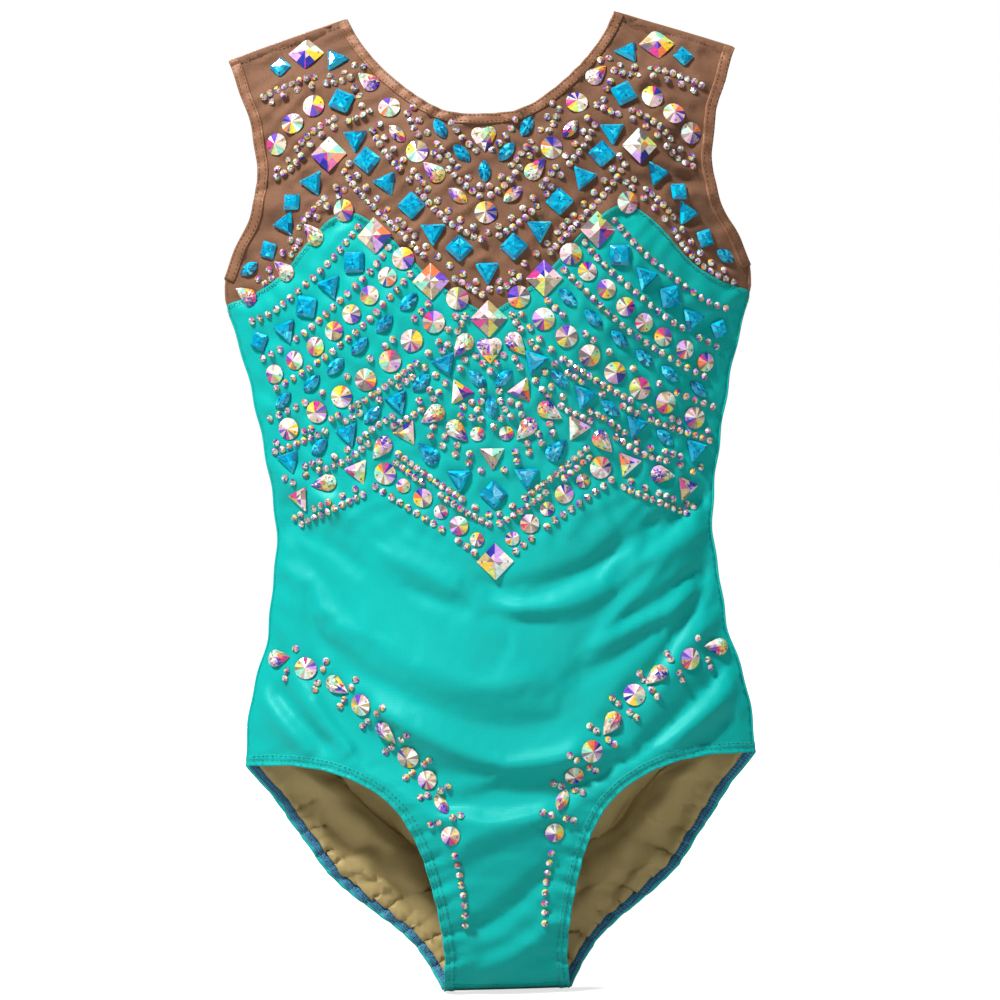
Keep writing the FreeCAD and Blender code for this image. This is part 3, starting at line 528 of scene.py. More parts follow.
def surface(side, x, z, depth=0.0):
    """Points on the draped fabric, in metres, at a depth in millimetres under its outer face."""
    x, z = np.asarray(x, float), np.asarray(z, float)
    point = draped(side, x, z)
    return (point - normals(side, x, z) * np.asarray(depth)[..., None]) * MM


def draped(side, x, z):
    return np.stack([x, SKINS[side].y(x, z), z], axis=-1) + DRAPES[side].at(x, z)


def normals(side, x, z, reach=1.5):
    """Outward directions, worked out from points a small reach away on each side."""
    x, z = np.asarray(x, float), np.asarray(z, float)
    across = draped(side, x + reach, z) - draped(side, x - reach, z)
    up = draped(side, x, z + reach) - draped(side, x, z - reach)
    out = np.cross(across, up)
    out *= (np.sign(out[..., 1]) * side)[..., None]
    return out / np.maximum(np.linalg.norm(out, axis=-1), 1e-9)[..., None]


# ------------------------------------------------------------------ materials

def linear(value):
    """One part of a screen colour, 0 to 255, as the share of light it stands for."""
    if value <= 10:
        return value / 255 / 12.92
    return ((value / 255 + 0.055) / 1.055) ** 2.4


def colour(red, green, blue):
    """A screen colour as the linear colour that materials use."""
    return (linear(red), linear(green), linear(blue), 1.0)


class Look:
    """A node material that is put together with short calls."""

    def __init__(self, name, roughness=0.6, **inputs):
        self.material = bpy.data.materials.new(name)
        self.material.use_nodes = True
        self.nodes = self.material.node_tree.nodes
        self.links = self.material.node_tree.links
        self.shader = self.nodes["Principled BSDF"]
        self.shader.inputs["Roughness"].default_value = roughness
        for key, value in inputs.items():
            self.shader.inputs[key.replace("_", " ")].default_value = value
        self.place = self.nodes.new("ShaderNodeTexCoord").outputs["Object"]

    def link(self, source, node, socket):
        self.links.new(source, node.inputs[socket])

    def stretched(self, scale):
        mapping = self.nodes.new("ShaderNodeMapping")
        mapping.inputs["Scale"].default_value = scale
        self.link(self.place, mapping, "Vector")
        return mapping.outputs["Vector"]

    def cloud(self, scale, detail=3.0, stretch=(1, 1, 1)):
        texture = self.nodes.new("ShaderNodeTexNoise")
        texture.inputs["Scale"].default_value = scale
        texture.inputs["Detail"].default_value = detail
        self.link(self.stretched(stretch), texture, "Vector")
        return texture.outputs["Fac"]

    def waves(self, pitch, direction):
        """Bands with a pitch in metres across one axis."""
        texture = self.nodes.new("ShaderNodeTexWave")
        texture.bands_direction = direction
        texture.inputs["Scale"].default_value = math.pi / 10 / pitch
        texture.inputs["Distortion"].default_value = 0.6
        texture.inputs["Detail Scale"].default_value = 4
        self.link(self.place, texture, "Vector")
        return texture.outputs["Fac"]

    def cells(self, pitch, stretch=(1, 1, 1)):
        texture = self.nodes.new("ShaderNodeTexVoronoi")
        texture.feature = "DISTANCE_TO_EDGE"
        texture.inputs["Scale"].default_value = 1 / pitch
        self.link(self.stretched(stretch), texture, "Vector")
        return texture.outputs["Distance"]

    def blend(self, factor, low, high, limits=(0.3, 0.7)):
        ramp = self.nodes.new("ShaderNodeValToRGB")
        ramp.color_ramp.elements[0].position, ramp.color_ramp.elements[1].position = limits
        ramp.color_ramp.elements[0].color, ramp.color_ramp.elements[1].color = low, high
        self.link(factor, ramp, "Fac")
        return ramp.outputs["Color"]

    def mix(self, kind, a, b, amount=1.0):
        node = self.nodes.new("ShaderNodeMix")
        node.data_type, node.blend_type = "RGBA", kind
        node.inputs[0].default_value = amount
        for source, socket in ((a, 6), (b, 7)):
            if isinstance(source, tuple):
                node.inputs[socket].default_value = source
            else:
                self.links.new(source, node.inputs[socket])
        return node.outputs[2]

    def paint(self, source):
        self.link(source, self.shader, "Base Color")
        return self

    def bump(self, *heights):
        """Adds bumps: pairs of a height source and a depth in millimetres."""
        below = None
        for source, depth in heights:
            node = self.nodes.new("ShaderNodeBump")
            node.inputs["Distance"].default_value = depth * MM
            self.link(source, node, "Height")
            if below:
                self.link(below, node, "Normal")
            below = node.outputs["Normal"]
        self.link(below, self.shader, "Normal")
        return self

    def attribute(self, name):
        node = self.nodes.new("ShaderNodeAttribute")
        node.attribute_name = name
        return node.outputs["Color"]


def stretch_fabric(name, main, light, dark, rib=0.0009):
    """Smooth four-way stretch fabric: fine ribs, a soft sheen and slow changes of tone."""
    tint = tuple(0.4 + 0.6 * c / max(main[:3]) for c in main[:3]) + (1.0,)
    look = Look(name, roughness=0.43, Sheen_Weight=0.03, Sheen_Roughness=0.4,
                Specular_IOR_Level=0.3, Specular_Tint=tint)
    tone = look.mix("MIX", main, look.blend(look.cloud(9, 2), dark, light, (0.25, 0.75)), 0.3)
    ribs = look.waves(rib, "X")
    loops = look.waves(rib * 1.3, "Z")
    knit = look.mix("MULTIPLY", ribs, loops)
    tone = look.mix("MULTIPLY", tone, look.blend(knit, (0.9, 0.9, 0.9, 1), (1, 1, 1, 1), (0.0, 0.5)))
    tone = look.mix("MULTIPLY", tone, look.blend(look.cloud(1500, 1), (0.94, 0.94, 0.94, 1), (1, 1, 1, 1)))
    return look.paint(tone).bump((knit, 0.05), (look.cloud(160, 4, (1, 1, 0.4)), 0.12)).material


def mesh_fabric(name, main, light, dark):
    """Fine skin-tone power mesh: small holes between knitted threads, with wear in the tone."""
    look = Look(name, roughness=0.72, Sheen_Weight=0.08, Sheen_Roughness=0.5, Specular_IOR_Level=0.15)
    holes = look.cells(0.0011, (1, 1, 0.8))
    tone = look.mix("MIX", main, look.blend(look.cloud(14, 3), dark, light), 0.45)
    tone = look.mix("MULTIPLY", tone, look.blend(holes, (1, 1, 1, 1), (0.72, 0.68, 0.66, 1), (0.12, 0.4)))
    return look.paint(tone).bump((holes, -0.12), (look.cloud(120, 4), 0.2)).material


def thread(name, main):
    look = Look(name, roughness=0.5, Sheen_Weight=0.2)
    twist = look.waves(0.0005, "DIAGONAL")
    dark = tuple(c * 0.7 for c in main[:3]) + (1.0,)
    return look.paint(look.blend(twist, dark, main)).bump((twist, 0.05)).material


def elastic(name, main, light):
    """Ribbed woven elastic."""
    look = Look(name, roughness=0.6, Sheen_Weight=0.2)
    ribs = look.waves(0.0012, "DIAGONAL")
    wear = look.blend(look.cloud(220, 2), (0.8, 0.8, 0.8, 1), (1, 1, 1, 1))
    tone = look.mix("MULTIPLY", look.blend(ribs, main, light), wear)
    return look.paint(tone).bump((ribs, 0.2)).material


def crystal(name, glow, coat=0.3):
    """Foil-backed cut stone. Every facet carries its own tint and glows with it: painted light that stands in
    for the foil's reflection.
    """
    look = Look(name, roughness=0.08, Coat_Weight=coat, Coat_Roughness=0.03, Specular_IOR_Level=0.5)
    tint = look.attribute("tint")
    streaks = look.blend(look.cloud(330, 2, (1, 1, 2)), (0.7, 0.72, 0.76, 1), (1.1, 1.08, 1.06, 1))
    tone = look.mix("MULTIPLY", tint, streaks)
    # Painted light: the facet tints are sent out as emission, so the stones glow though they are no lamps.
    look.links.new(tone, look.shader.inputs["Emission Color"])
    look.shader.inputs["Emission Strength"].default_value = glow
    return look.paint(tone).material


def pierced(name):
    """The dark bottom of a sewing hole, as painted shade inside the drilled hole."""
    look = Look(name, roughness=0.8)
    return look.paint(look.blend(look.cloud(2500, 2), colour(28, 24, 30), colour(70, 62, 66))).material


TURQUOISE = stretch_fabric("turquoise", colour(10, 182, 174), colour(14, 194, 186), colour(6, 166, 158))
NUDE = mesh_fabric("skin_tone_mesh", colour(122, 86, 64), colour(138, 99, 75), colour(98, 67, 49))
NUDE_TRIM = stretch_fabric("skin_tone_binding", colour(142, 100, 74), colour(158, 114, 88),
                           colour(112, 76, 54), 0.0007)
LINING = stretch_fabric("lining", colour(178, 160, 106), colour(212, 192, 132), colour(170, 134, 92), 0.0008)
BLUE_BAND = elastic("blue_elastic", colour(30, 104, 140), colour(66, 142, 178))
# Both threads are darker than the fabrics they match: painted shade along the stitch lines.
TURQUOISE_THREAD = thread("turquoise_thread", colour(4, 132, 128))
NUDE_THREAD = thread("skin_tone_thread", colour(124, 84, 58))
BLUE_THREAD = thread("blue_thread", colour(52, 130, 176))
# The second figure is the strength of the stones' painted glow.
AB = crystal("ab_crystal", 0.2)
BLUE = crystal("blue_crystal", 0.3)
BEAD = crystal("bead_crystal", 0.2)
# A nearly black tone: painted shade in the stones' sewing holes.
HOLE = pierced("sewing_hole")


def dress(obj, material, slot, *nodes):
    """Finishes a piece: its material, the CAD nodes it stands for, which it hides, and its body. The slot is
    not used.
    """
    obj.data.materials.append(material)
    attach(obj, "root")
    if nodes:
        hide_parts(*nodes)
    return obj


def rounded(obj):
    """Smooth shading over the whole piece."""
    for polygon in obj.data.polygons:
        polygon.use_smooth = True


# ------------------------------------------------------------------ fabric sheets

def sheet(name, side, outline, depth, thickness, wrinkle=None, spacing=2.6):
    """Fabric inside an outline, with a thickness, that follows the drape at a depth."""
    low, high = outline.min(axis=0), outline.max(axis=0)
    gx, gz = np.meshgrid(np.arange(low[0], high[0], spacing), np.arange(low[1], high[1], spacing))
    gx[::2] += spacing / 2
    free = inside(outline, gx, gz) & (distance(outline, gx, gz) > spacing * 0.6)
    points = np.concatenate([outline, np.column_stack([gx[free], gz[free]])])
    count = len(outline)
    ring = [(i, (i + 1) % count) for i in range(count)]
    flat, _, faces, *_ = delaunay_2d_cdt([Vector(p) for p in points], ring, [], 1, 1e-4)
    x, z = np.array([(p.x, p.y) for p in flat]).T
    extra = wrinkle(x, z) if wrinkle else 0.0
    faces = [face if side == FRONT else face[::-1] for face in faces]
    obj = mesh_object(name, surface(side, x, z, depth - extra), faces)
    solid = obj.modifiers.new("thickness", "SOLIDIFY")
    solid.thickness = thickness * MM
    solid.offset = -1
    solid.use_even_offset = False
    apply_modifiers(obj)
    rounded(obj)
    return obj


def cut_outline(*lines):
    """Lines on the left side, from the top centre to the bottom centre, mirrored into a ring."""
    half = np.concatenate(lines)
    ring = np.concatenate([half, flipped(half)[::-1]])
    keep = np.hypot(*(ring - np.roll(ring, 1, axis=0)).T) > 0.35
    return ring[keep]


def body_panel(side, top, leg):
    name = "front_body_panel" if side == FRONT else "back_body_panel"
    outline = cut_outline(smooth(top), side_edge(440, 148, 0.3), smooth(leg))
    dress(sheet(name, side, outline, *PANEL_LAYER), TURQUOISE, "turquoise_fabric", name)


def yoke(side, neck, top):
    name = "front_yoke" if side == FRONT else "back_yoke"
    below = smooth(top) - [0, LAP]
    arm = smooth(ARMHOLE)
    side_line = side_edge(456, below[-1][1], 0.3)
    outline = cut_outline(smooth(neck), smooth(SHOULDER), arm, side_line, below[::-1])
    dress(sheet(name, side, outline, *MESH_LAYER), NUDE, "skin_tone_mesh", name)


LINING_CREASES = [
    ([(-148, 132), (-126, 120), (-106, 96), (-94, 68)], 6, 5.0),
    ([(-134, 136), (-108, 116), (-84, 86)], 6, -3.0),
    ([(-122, 100), (-96, 92), (-72, 66), (-56, 38)], 6, 4.5),
    ([(-98, 138), (-78, 116), (-62, 86)], 7, 4.5),
    ([(-110, 82), (-84, 70), (-60, 34)], 5, -3.5),
    ([(-92, 52), (-70, 44), (-48, 18)], 5, 4.0),
    ([(-126, 122), (-118, 104), (-120, 90)], 4, -3.0),
    ([(-80, 140), (-58, 112), (-50, 70)], 6, -3.0),
    ([(-60, 120), (-50, 90), (-44, 50)], 5, 3.5),
]


def lining_wrinkles(x, z):
    """Loose lining: broad slanting folds seen inside the leg openings, gathered at the elastic."""
    left = x > 0
    u, v = -np.abs(x) + 6 * left, z + 5 * left * np.sin(x / 30)
    folds = sum(crease(u, v, *line) for line in LINING_CREASES)
    folds = folds + 0.7 * np.sin((u - v) / 5.1 + np.sin(v / 9))
    folds = folds + 0.4 * np.sin((u + 1.4 * v) / 2.7 + np.sin(u / 7))
    edge = distance(smooth(BACK_LEG, 3), np.abs(x), z)
    gathers = 0.6 * np.sin((0.8 * np.abs(x) + z) / 1.25) * np.exp(-((edge / 13) ** 2))
    loose = np.clip(edge / 22, 0, 1) * np.clip((190 - z) / 60, 0, 1)
    return np.minimum((folds - 7) * loose + gathers * (z < 150), 1.0)


def lining(side, top, leg):
    name = "front_lining" if side == FRONT else "back_lining"
    edge = smooth(leg)
    edge = (edge + sideways(edge) * 4.5)[1:]
    edge = edge[edge[:, 0] < 157]
    edge[-1][1] = 1.6
    below = smooth(top) - [0, LAP + 1]
    below[:, 0] *= 0.97
    outline = cut_outline(below, side_edge(below[-1][1] - 4, 156, 9), edge)
    share = 1.0 if side == BACK else 0.35

    def wrinkle(x, z):
        from_side = SKINS[side].half_width(z) - np.abs(x)
        return share * lining_wrinkles(x, z) * np.clip((from_side - 7) / 22, 0, 1)
    dress(sheet(name, side, outline, *LINING_LAYER, wrinkle), LINING, "lining_fabric", name)


# ------------------------------------------------------------------ bands, piping and stitches

# Cross-sections of sewn strips: how far across, and how high, both as shares of the whole.
FOLDED = [(0.0, 0.1), (0.04, 0.8), (0.14, 1.0), (0.2, 0.55), (0.3, 0.9), (0.6, 0.85),
          (0.74, 0.5), (0.84, 0.9), (0.96, 0.6), (1.0, 0.0)]
TURNED = [(0.0, 0.2), (0.05, 1.3), (0.13, 1.7), (0.21, 1.1), (0.3, 0.6), (0.42, 0.9),
          (0.49, 0.3), (0.56, 0.9), (0.8, 0.8), (0.9, 0.2), (0.96, 0.4), (1.0, 0.0)]


def ribbon(name, runs, width, depth, height, inset=0.0, pucker=0.0, profile=FOLDED):
    """Folded strips that run along lines on the fabric, joined into one piece.

    Each run is a side and a line. The strip is as wide as given, stands out by the height and
    sinks to the depth. The pucker is the height of small gathers along it, in millimetres."""
    vertices, faces = [], []
    for side, line in runs:
        into = sideways(line)
        first = len(vertices)
        count = len(profile) * 2
        gather = pucker * np.sin(np.arange(len(line)) * 2.1) * (0.6 + 0.4 * noise.random(len(line)))
        for across, level in profile:
            spot = line + into * (inset + across * width)
            vertices += list(surface(side, spot[:, 0], spot[:, 1], -level * height - gather * level))
        for across, level in profile[::-1]:
            spot = line + into * (inset + across * width)
            sunk = np.full(len(line), depth * (0.5 + level / 2))
            vertices += list(surface(side, spot[:, 0], spot[:, 1], sunk))
        steps = len(line)
        for j in range(count):
            for i in range(steps - 1):
                a, b = first + j * steps + i, first + (j + 1) % count * steps + i
                quad = (a, b, b + 1, a + 1)
                faces.append(quad if side == FRONT else quad[::-1])
        start = [first + j * steps for j in range(count)]
        end = [corner + steps - 1 for corner in start]
        faces += [start[::-1], end] if side == FRONT else [start, end[::-1]]
    obj = mesh_object(name, vertices, faces)
    rounded(obj)
    return obj


def tube(name, paths, radius, sides=8):
    """Round cord along paths of points in metres."""
    vertices, faces = [], []
    for path in paths:
        path = np.asarray(path)
        along = np.gradient(path, axis=0)
        along /= np.linalg.norm(along, axis=1)[:, None]
        across = np.cross(along, np.array([0.3, 1.0, 0.2]))
        across /= np.linalg.norm(across, axis=1)[:, None]
        up = np.cross(across, along)
        first, steps = len(vertices), len(path)
        taper = np.ones(steps)
        taper[[0, -1]] = 0.35
        for k in range(sides):
            angle = 2 * math.pi * k / sides
            ring = (across * math.cos(angle) + up * math.sin(angle)) * radius * MM * taper[:, None]
            vertices += list(path + ring)
        for k in range(sides):
            for i in range(steps - 1):
                a, b = first + k * steps + i, first + (k + 1) % sides * steps + i
                faces.append((a, a + 1, b + 1, b))
        ends = [first + k * steps for k in range(sides)]
        faces += [ends, [e + steps - 1 for e in ends][::-1]]
    obj = mesh_object(name, vertices, faces)
    rounded(obj)
    return obj


def stitches(name, runs, offset, pitch, material, slot, zigzag=0.0, lift=0.25, radius=0.22):
    """A row of short threads along lines, straight or zigzag, sunk a little at both ends."""
    paths = []
    for side, line in runs:
        into = sideways(line)
        length = np.concatenate([[0], np.cumsum(np.hypot(*np.diff(line, axis=0).T))])
        marks = np.arange(pitch, length[-1] - pitch, pitch)
        for number, mark in enumerate(marks):
            reach = pitch * (0.5 if zigzag else 0.34)
            t = mark + np.array([-1, -0.4, 0.4, 1]) * reach
            swing = np.array([-1, -0.4, 0.4, 1]) * zigzag * (1 if number % 2 else -1)
            row = line + into * offset
            x = np.interp(t, length, row[:, 0]) + swing * np.interp(t, length, into[:, 0])
            z = np.interp(t, length, row[:, 1]) + swing * np.interp(t, length, into[:, 1])
            paths.append(surface(side, x, z, -lift * np.array([-0.6, 1, 1, -0.6])))
    dress(tube(name, paths, radius, 6), material, slot)


def neck_runs():
    return [(FRONT, whole(smooth(FRONT_NECK))), (BACK, whole(smooth(BACK_NECK)))]


def arm_runs(left):
    line = smooth(ARMHOLE)
    line = line if left else flipped(line)[::-1]
    return [(FRONT, line), (BACK, line)]


def leg_runs(left):
    pairs = []
    for side, leg in ((FRONT, FRONT_LEG), (BACK, BACK_LEG)):
        line = smooth(leg)
        pairs.append((side, line if left else flipped(line)[::-1]))
    return pairs


def neck_binding():
    obj = ribbon("neck_binding", neck_runs(), NECK_BINDING, 1.6, 0.5, 0.0, 0.12)
    dress(obj, NUDE_TRIM, "binding_fabric", "neck_binding")
    for offset in (1.2, 5.0):
        stitches(f"neck_stitches_{int(offset)}", neck_runs(), offset, 2.6, NUDE_THREAD,
                 "binding_fabric", lift=0.8)


def arm_bindings():
    for left, name in ((True, "left_armhole_binding"), (False, "right_armhole_binding")):
        obj = ribbon(name, arm_runs(left), ARM_BINDING, 1.6, 0.45, 0.0, 0.15)
        dress(obj, NUDE_TRIM, "binding_fabric", name)
        for offset in (1.4, 5.4):
            stitches(f"{name}_stitches_{int(offset)}", arm_runs(left), offset, 2.8, NUDE_THREAD,
                     "binding_fabric", lift=0.75)


def leg_hems():
    """The turned hem of the panels, the elastic inside it and two rows of cover stitch."""
    for left, name in ((True, "left_leg"), (False, "right_leg")):
        hem = ribbon(f"{name}_hem", leg_runs(left), LEG_HEM, 1.5, 0.62, -0.4, 0.25, TURNED)
        dress(hem, TURQUOISE, "turquoise_fabric")
        band = ribbon(f"{name}_elastic", leg_runs(left), 6.2, 3.0, -1.7, 0.4, 0.35)
        dress(band, BLUE_BAND, "blue_elastic", f"{name}_elastic")
        for offset in (3.0, 5.9):
            stitches(f"{name}_stitches_{int(offset)}", leg_runs(left), offset, 2.9, TURQUOISE_THREAD,
                     "turquoise_fabric", lift=0.42, radius=0.32)
        stitches(f"{name}_overlock", leg_runs(left), 3.2, 2.1, BLUE_THREAD, "blue_elastic",
                 zigzag=2.4, lift=-3.2)


def top_edges():
    """The top edge of each panel is turned and zigzag-stitched onto the mesh."""
    for name, side, edge in (("heart_edge", FRONT, HEART), ("back_top", BACK, BACK_TOP)):
        run = [(side, whole(smooth(edge)))]
        hem = ribbon(f"{name}_hem", run, 3.2, 0.7, 0.3, -0.3, 0.1)
        dress(hem, TURQUOISE, "turquoise_fabric")
        stitches(f"{name}_stitches", run, 1.4, 1.7, TURQUOISE_THREAD, "turquoise_fabric", 1.0, 0.5)


def seam(name, lines, radius, material, slot, *nodes):
    """A sewn edge: a slim roll of fabric where the front and the back meet."""
    paths = []
    for line in lines:
        front = surface(FRONT, line[:, 0], line[:, 1])
        back = surface(BACK, line[:, 0], line[:, 1])
        paths.append((front + back) / 2)
    dress(tube(name, paths, radius, 10), material, slot, *nodes)


def seams():
    """The side, shoulder and crotch seams, and the stitches that show beside them."""
    for name, turn in (("left", lambda line: line), ("right", flipped)):
        shoulder = turn(smooth(SHOULDER))
        seam(f"{name}_side_seam", [turn(side_edge(440, 149, 0.5))], 0.75, TURQUOISE,
             "turquoise_fabric", f"{name}_side_seam")
        seam(f"{name}_yoke_side_seam", [turn(side_edge(457, 440, 0.5))], 0.7, NUDE_TRIM, "binding_fabric")
        seam(f"{name}_shoulder_seam", [shoulder], 0.9, NUDE_TRIM, "binding_fabric", f"{name}_shoulder_seam")
        run = [(FRONT, shoulder if name == "left" else shoulder[::-1])]
        stitches(f"{name}_shoulder_stitches", run, 3.0, 2.6, NUDE_THREAD, "binding_fabric", lift=0.1)
    bottom = np.column_stack([np.linspace(-40, 40, 40), np.full(40, 0.9)])
    seam("crotch_seam", [bottom], 0.9, TURQUOISE, "turquoise_fabric", "crotch_seam")
    stitches("crotch_stitches", [(FRONT, bottom + [0, 4.4])], 0.0, 2.6, TURQUOISE_THREAD,
             "turquoise_fabric", lift=0.2)


def gusset():
    """The inner patch at the crotch, behind the linings."""
    for name, side, top in (("front", FRONT, 88), ("back", BACK, 60)):
        edge = np.column_stack([[27, 27.5, 28, 28.5], [top - 6, top * 0.66, top * 0.33, 2.6]])
        arch = smooth([(0, top), (14, top - 1.5), (27, top - 6)])
        outline = cut_outline(arch, smooth(edge))
        obj = sheet(f"crotch_gusset_{name}", side, outline, *GUSSET_LAYER, None, 3)
        dress(obj, LINING, "lining_fabric", "crotch_gusset")


# ------------------------------------------------------------------ crystals

# The coating of an "aurora" stone runs through these colours round the stone; its near-white tones are
# painted glints.
AURORA = [colour(*tone) for tone in (
    (226, 206, 180), (250, 244, 236), (238, 196, 206), (206, 160, 226), (112, 76, 190), (44, 52, 150),
    (196, 60, 130), (232, 120, 70), (244, 196, 60), (206, 216, 110), (140, 214, 186), (214, 236, 226))]
PEARL = [colour(*tone) for tone in (
    (184, 166, 140), (148, 132, 122), (232, 222, 208), (204, 172, 172), (188, 166, 112), (124, 112, 118))]
# The blue stones' own blue, with the light tone (60, 206, 230) as a painted highlight and the darkest as
# painted shade at the edges.
OCEAN = [colour(*tone) for tone in (
    (0, 140, 176), (0, 154, 190), (0, 124, 162), (0, 172, 204), (0, 102, 142), (0, 148, 184), (60, 206, 230),
    (0, 84, 120))]
# Bead facets: the beads' greyish tones, set lighter and darker from facet to facet as painted reflections.
DEW = [colour(*tone) for tone in (
    (160, 150, 144), (108, 116, 104), (204, 196, 190), (84, 92, 88), (150, 122, 140), (172, 150, 118))]


def pick(palette, count):
    return np.array(palette)[noise.integers(len(palette), size=count)]


def facet_tints(shape, facets, calm, lively, share):
    """A tint for each facet of one stone.

    Calm tones fill most facets, each a little brighter or darker at random: the stone's own colour
    with painted reflections. The given share is lively and follows the direction that the facet
    faces, so that neighbours are alike, as painted coloured reflections. The steep sides are darkened
    as painted shade."""
    middles = np.array([shape[list(facet)].mean(axis=0) for facet in facets])
    turn = np.arctan2(middles[:, 1], middles[:, 0]) / (2 * math.pi)
    # Painted reflections: the lively tints turn with the way each facet faces.
    order = (turn + noise.random()) * len(lively) + noise.normal(0, 0.5, len(facets))
    hot = np.array(lively)[np.floor(order).astype(int) % len(lively)]
    quiet = pick(calm, len(facets)) * (0.8 + 0.35 * noise.random(len(facets)))[:, None]
    chosen = noise.random(len(facets)) < share
    out = np.where(chosen[:, None], hot, quiet)
    # Painted shade: the steep side facets are darkened to 0.4 of their tint.
    sides = middles[:, 2] < 0.2 * shape[:, 2].max()
    out[sides, :3] *= 0.4
    out[:, 3] = 1
    return np.clip(out, 0, 1)


def arc_points(centre, radius, start, end, count):
    angles = np.radians(np.linspace(start, end, count))
    return [(centre[0] + radius * math.cos(a), centre[1] + radius * math.sin(a)) for a in angles]


def disc_outline(count=16):
    return arc_points((0, 0), 1, 90, 90 + 360 * (count - 1) / count, count)


def cornered_outline(corners, chamfer=0.07):
    """A regular polygon with its corners cut off and a point in the middle of each side."""
    points = []
    tips = arc_points((0, 0), 1, 90, 90 + 360 * (corners - 1) / corners, corners)
    for i, tip in enumerate(tips):
        before, after = np.array(tips[i - 1]), np.array(tips[(i + 1) % corners])
        tip = np.array(tip)
        points += [tip + (before - tip) * chamfer, tip + (after - tip) * chamfer, (tip + after) / 2]
    return points


def navette_outline():
    right = arc_points((-1.5, 0), 2.5, -53.13, 53.13, 8)
    return right + [(-x, -z) for x, z in right][1:-1]


def drop_outline():
    return arc_points((0, 0), 1, 150, 390, 11) + [(0.5, 1.35), (0.0, 2.1), (-0.5, 1.35)]


def heart_outline():
    """Pointed at the top, as every tipped stone is drawn, with two shallow lobes below."""
    lobe = arc_points((0.46, 0), 0.54, 235, 390, 8)
    mirrored = [(-x, z) for x, z in lobe[::-1]]
    return lobe + [(0.62, 0.82), (0.0, 1.52), (-0.62, 0.82)] + mirrored


class Cut:
    """The shape of one kind of stone: rings of facets from girdle to table or point."""

    def __init__(self, outline, rings, point=None, holes=(), height=3.2):
        self.outline = np.array(outline, float)
        area = np.roll(self.outline, -1, axis=0)
        if np.sum(self.outline[:, 0] * area[:, 1] - area[:, 0] * self.outline[:, 1]) < 0:
            self.outline = self.outline[::-1]
        low, high = self.outline.min(axis=0), self.outline.max(axis=0)
        self.outline = (self.outline - (low + high) / 2) / (high - low)
        self.rings, self.point, self.holes, self.height = rings, point, holes, height

    def mesh(self, width, length):
        """Vertices in millimetres and facets, the flat back at height zero."""
        base = self.outline * [width, length]
        middle = base.mean(axis=0)
        vertices = [(*p, 0.0) for p in base]
        count = len(base)
        faces = [tuple(range(count))[::-1]]
        previous, shifted_before = 0, False
        for scale, level, turned in self.rings:
            ring = (base + np.roll(base, -1, axis=0)) / 2 if turned else base
            first = len(vertices)
            vertices += [(*(middle + (p - middle) * scale), level * self.height) for p in ring]
            for i in range(count):
                j = (i + 1) % count
                a, b, c, d = previous + i, previous + j, first + j, first + i
                if turned == shifted_before:
                    faces.append((a, b, c, d))
                elif turned:
                    faces += [(a, b, d), (b, c, d)]
                else:
                    faces += [(a, b, c), (a, c, d)]
            previous, shifted_before = first, turned
        if self.point:
            vertices.append((*middle, self.point * self.height))
            faces += [(previous + i, previous + (i + 1) % count, len(vertices) - 1) for i in range(count)]
        else:
            faces.append(tuple(previous + i for i in range(count)))
        return np.array(vertices), faces

    def hole_spots(self, width, length):
        """Where the sewing holes are, as a part of the half width and half length."""
        return [(x * width / 2, y * length / 2) for x, y in self.holes]


PIE = [(1.0, 0.28, False)]
TABLE = [(1.0, 0.3, False), (0.68, 0.94, False), (0.3, 0.98, True)]
STAR = [(1.0, 0.2, False), (0.46, 0.66, False)]
LONG = [(1.0, 0.3, False), (0.5, 0.92, False)]
BRILLIANT = [(1.0, 0.24, False), (0.72, 0.7, True), (0.42, 0.98, False)]

CUTS = {
    "ab_square_stones": Cut(cornered_outline(4, 0.03), STAR, 1.0, [(0, 0.72), (0, -0.72)], 4.2),
    "ab_large_rivolis": Cut(disc_outline(), PIE, 1.0, [(0.1, 0.74), (-0.1, -0.74)], 3.6),
    "ab_medium_rivolis": Cut(disc_outline(), PIE, 1.0, [(0.5, 0.54), (-0.5, -0.54)], 3.2),
    "ab_small_rivolis": Cut(disc_outline(12), PIE, 1.0, [(0.0, 0.7), (0.0, -0.7)], 2.6),
    "ab_triangle_stones": Cut(cornered_outline(3, 0.05), STAR, 1.0,
                              [(0, 0.66), (0.6, -0.74), (-0.6, -0.74)], 3.6),
    "ab_teardrop_stones": Cut(drop_outline(), BRILLIANT, 1.02, [(0, 0.7), (0, -0.74)], 3.6),
    "ab_navette_stones": Cut(navette_outline(), LONG, 1.0, [(0, 0.74), (0, -0.74)], 3.4),
    "ab_heart_stones": Cut(heart_outline(), BRILLIANT, 1.02, [(0.55, -0.42), (-0.55, -0.42), (0, 0.62)], 3.6),
    "blue_triangle_stones": Cut(cornered_outline(3, 0.06), TABLE, 1.0,
                                [(0, 0.68), (0.62, -0.76), (-0.62, -0.76)], 3.4),
    "blue_square_stones": Cut(cornered_outline(4, 0.07), TABLE, 1.0, [(0, 0.76), (0, -0.76)], 3.4),
    "blue_small_square_stones": Cut(cornered_outline(4, 0.07), TABLE, 1.0, [(0, 0.76), (0, -0.76)], 3.0),
    "blue_navette_stones": Cut(navette_outline(), LONG, 1.0, [(0, 0.78), (0, -0.78)], 3.2),
    "blue_teardrop_stones": Cut(drop_outline(), BRILLIANT, 1.02, [(0, 0.7), (0, -0.74)], 3.4),
}
BEAD_CUT = Cut(disc_outline(8), [(1.0, 0.25, False), (0.5, 0.95, False)], 1.0, (), 1.6)


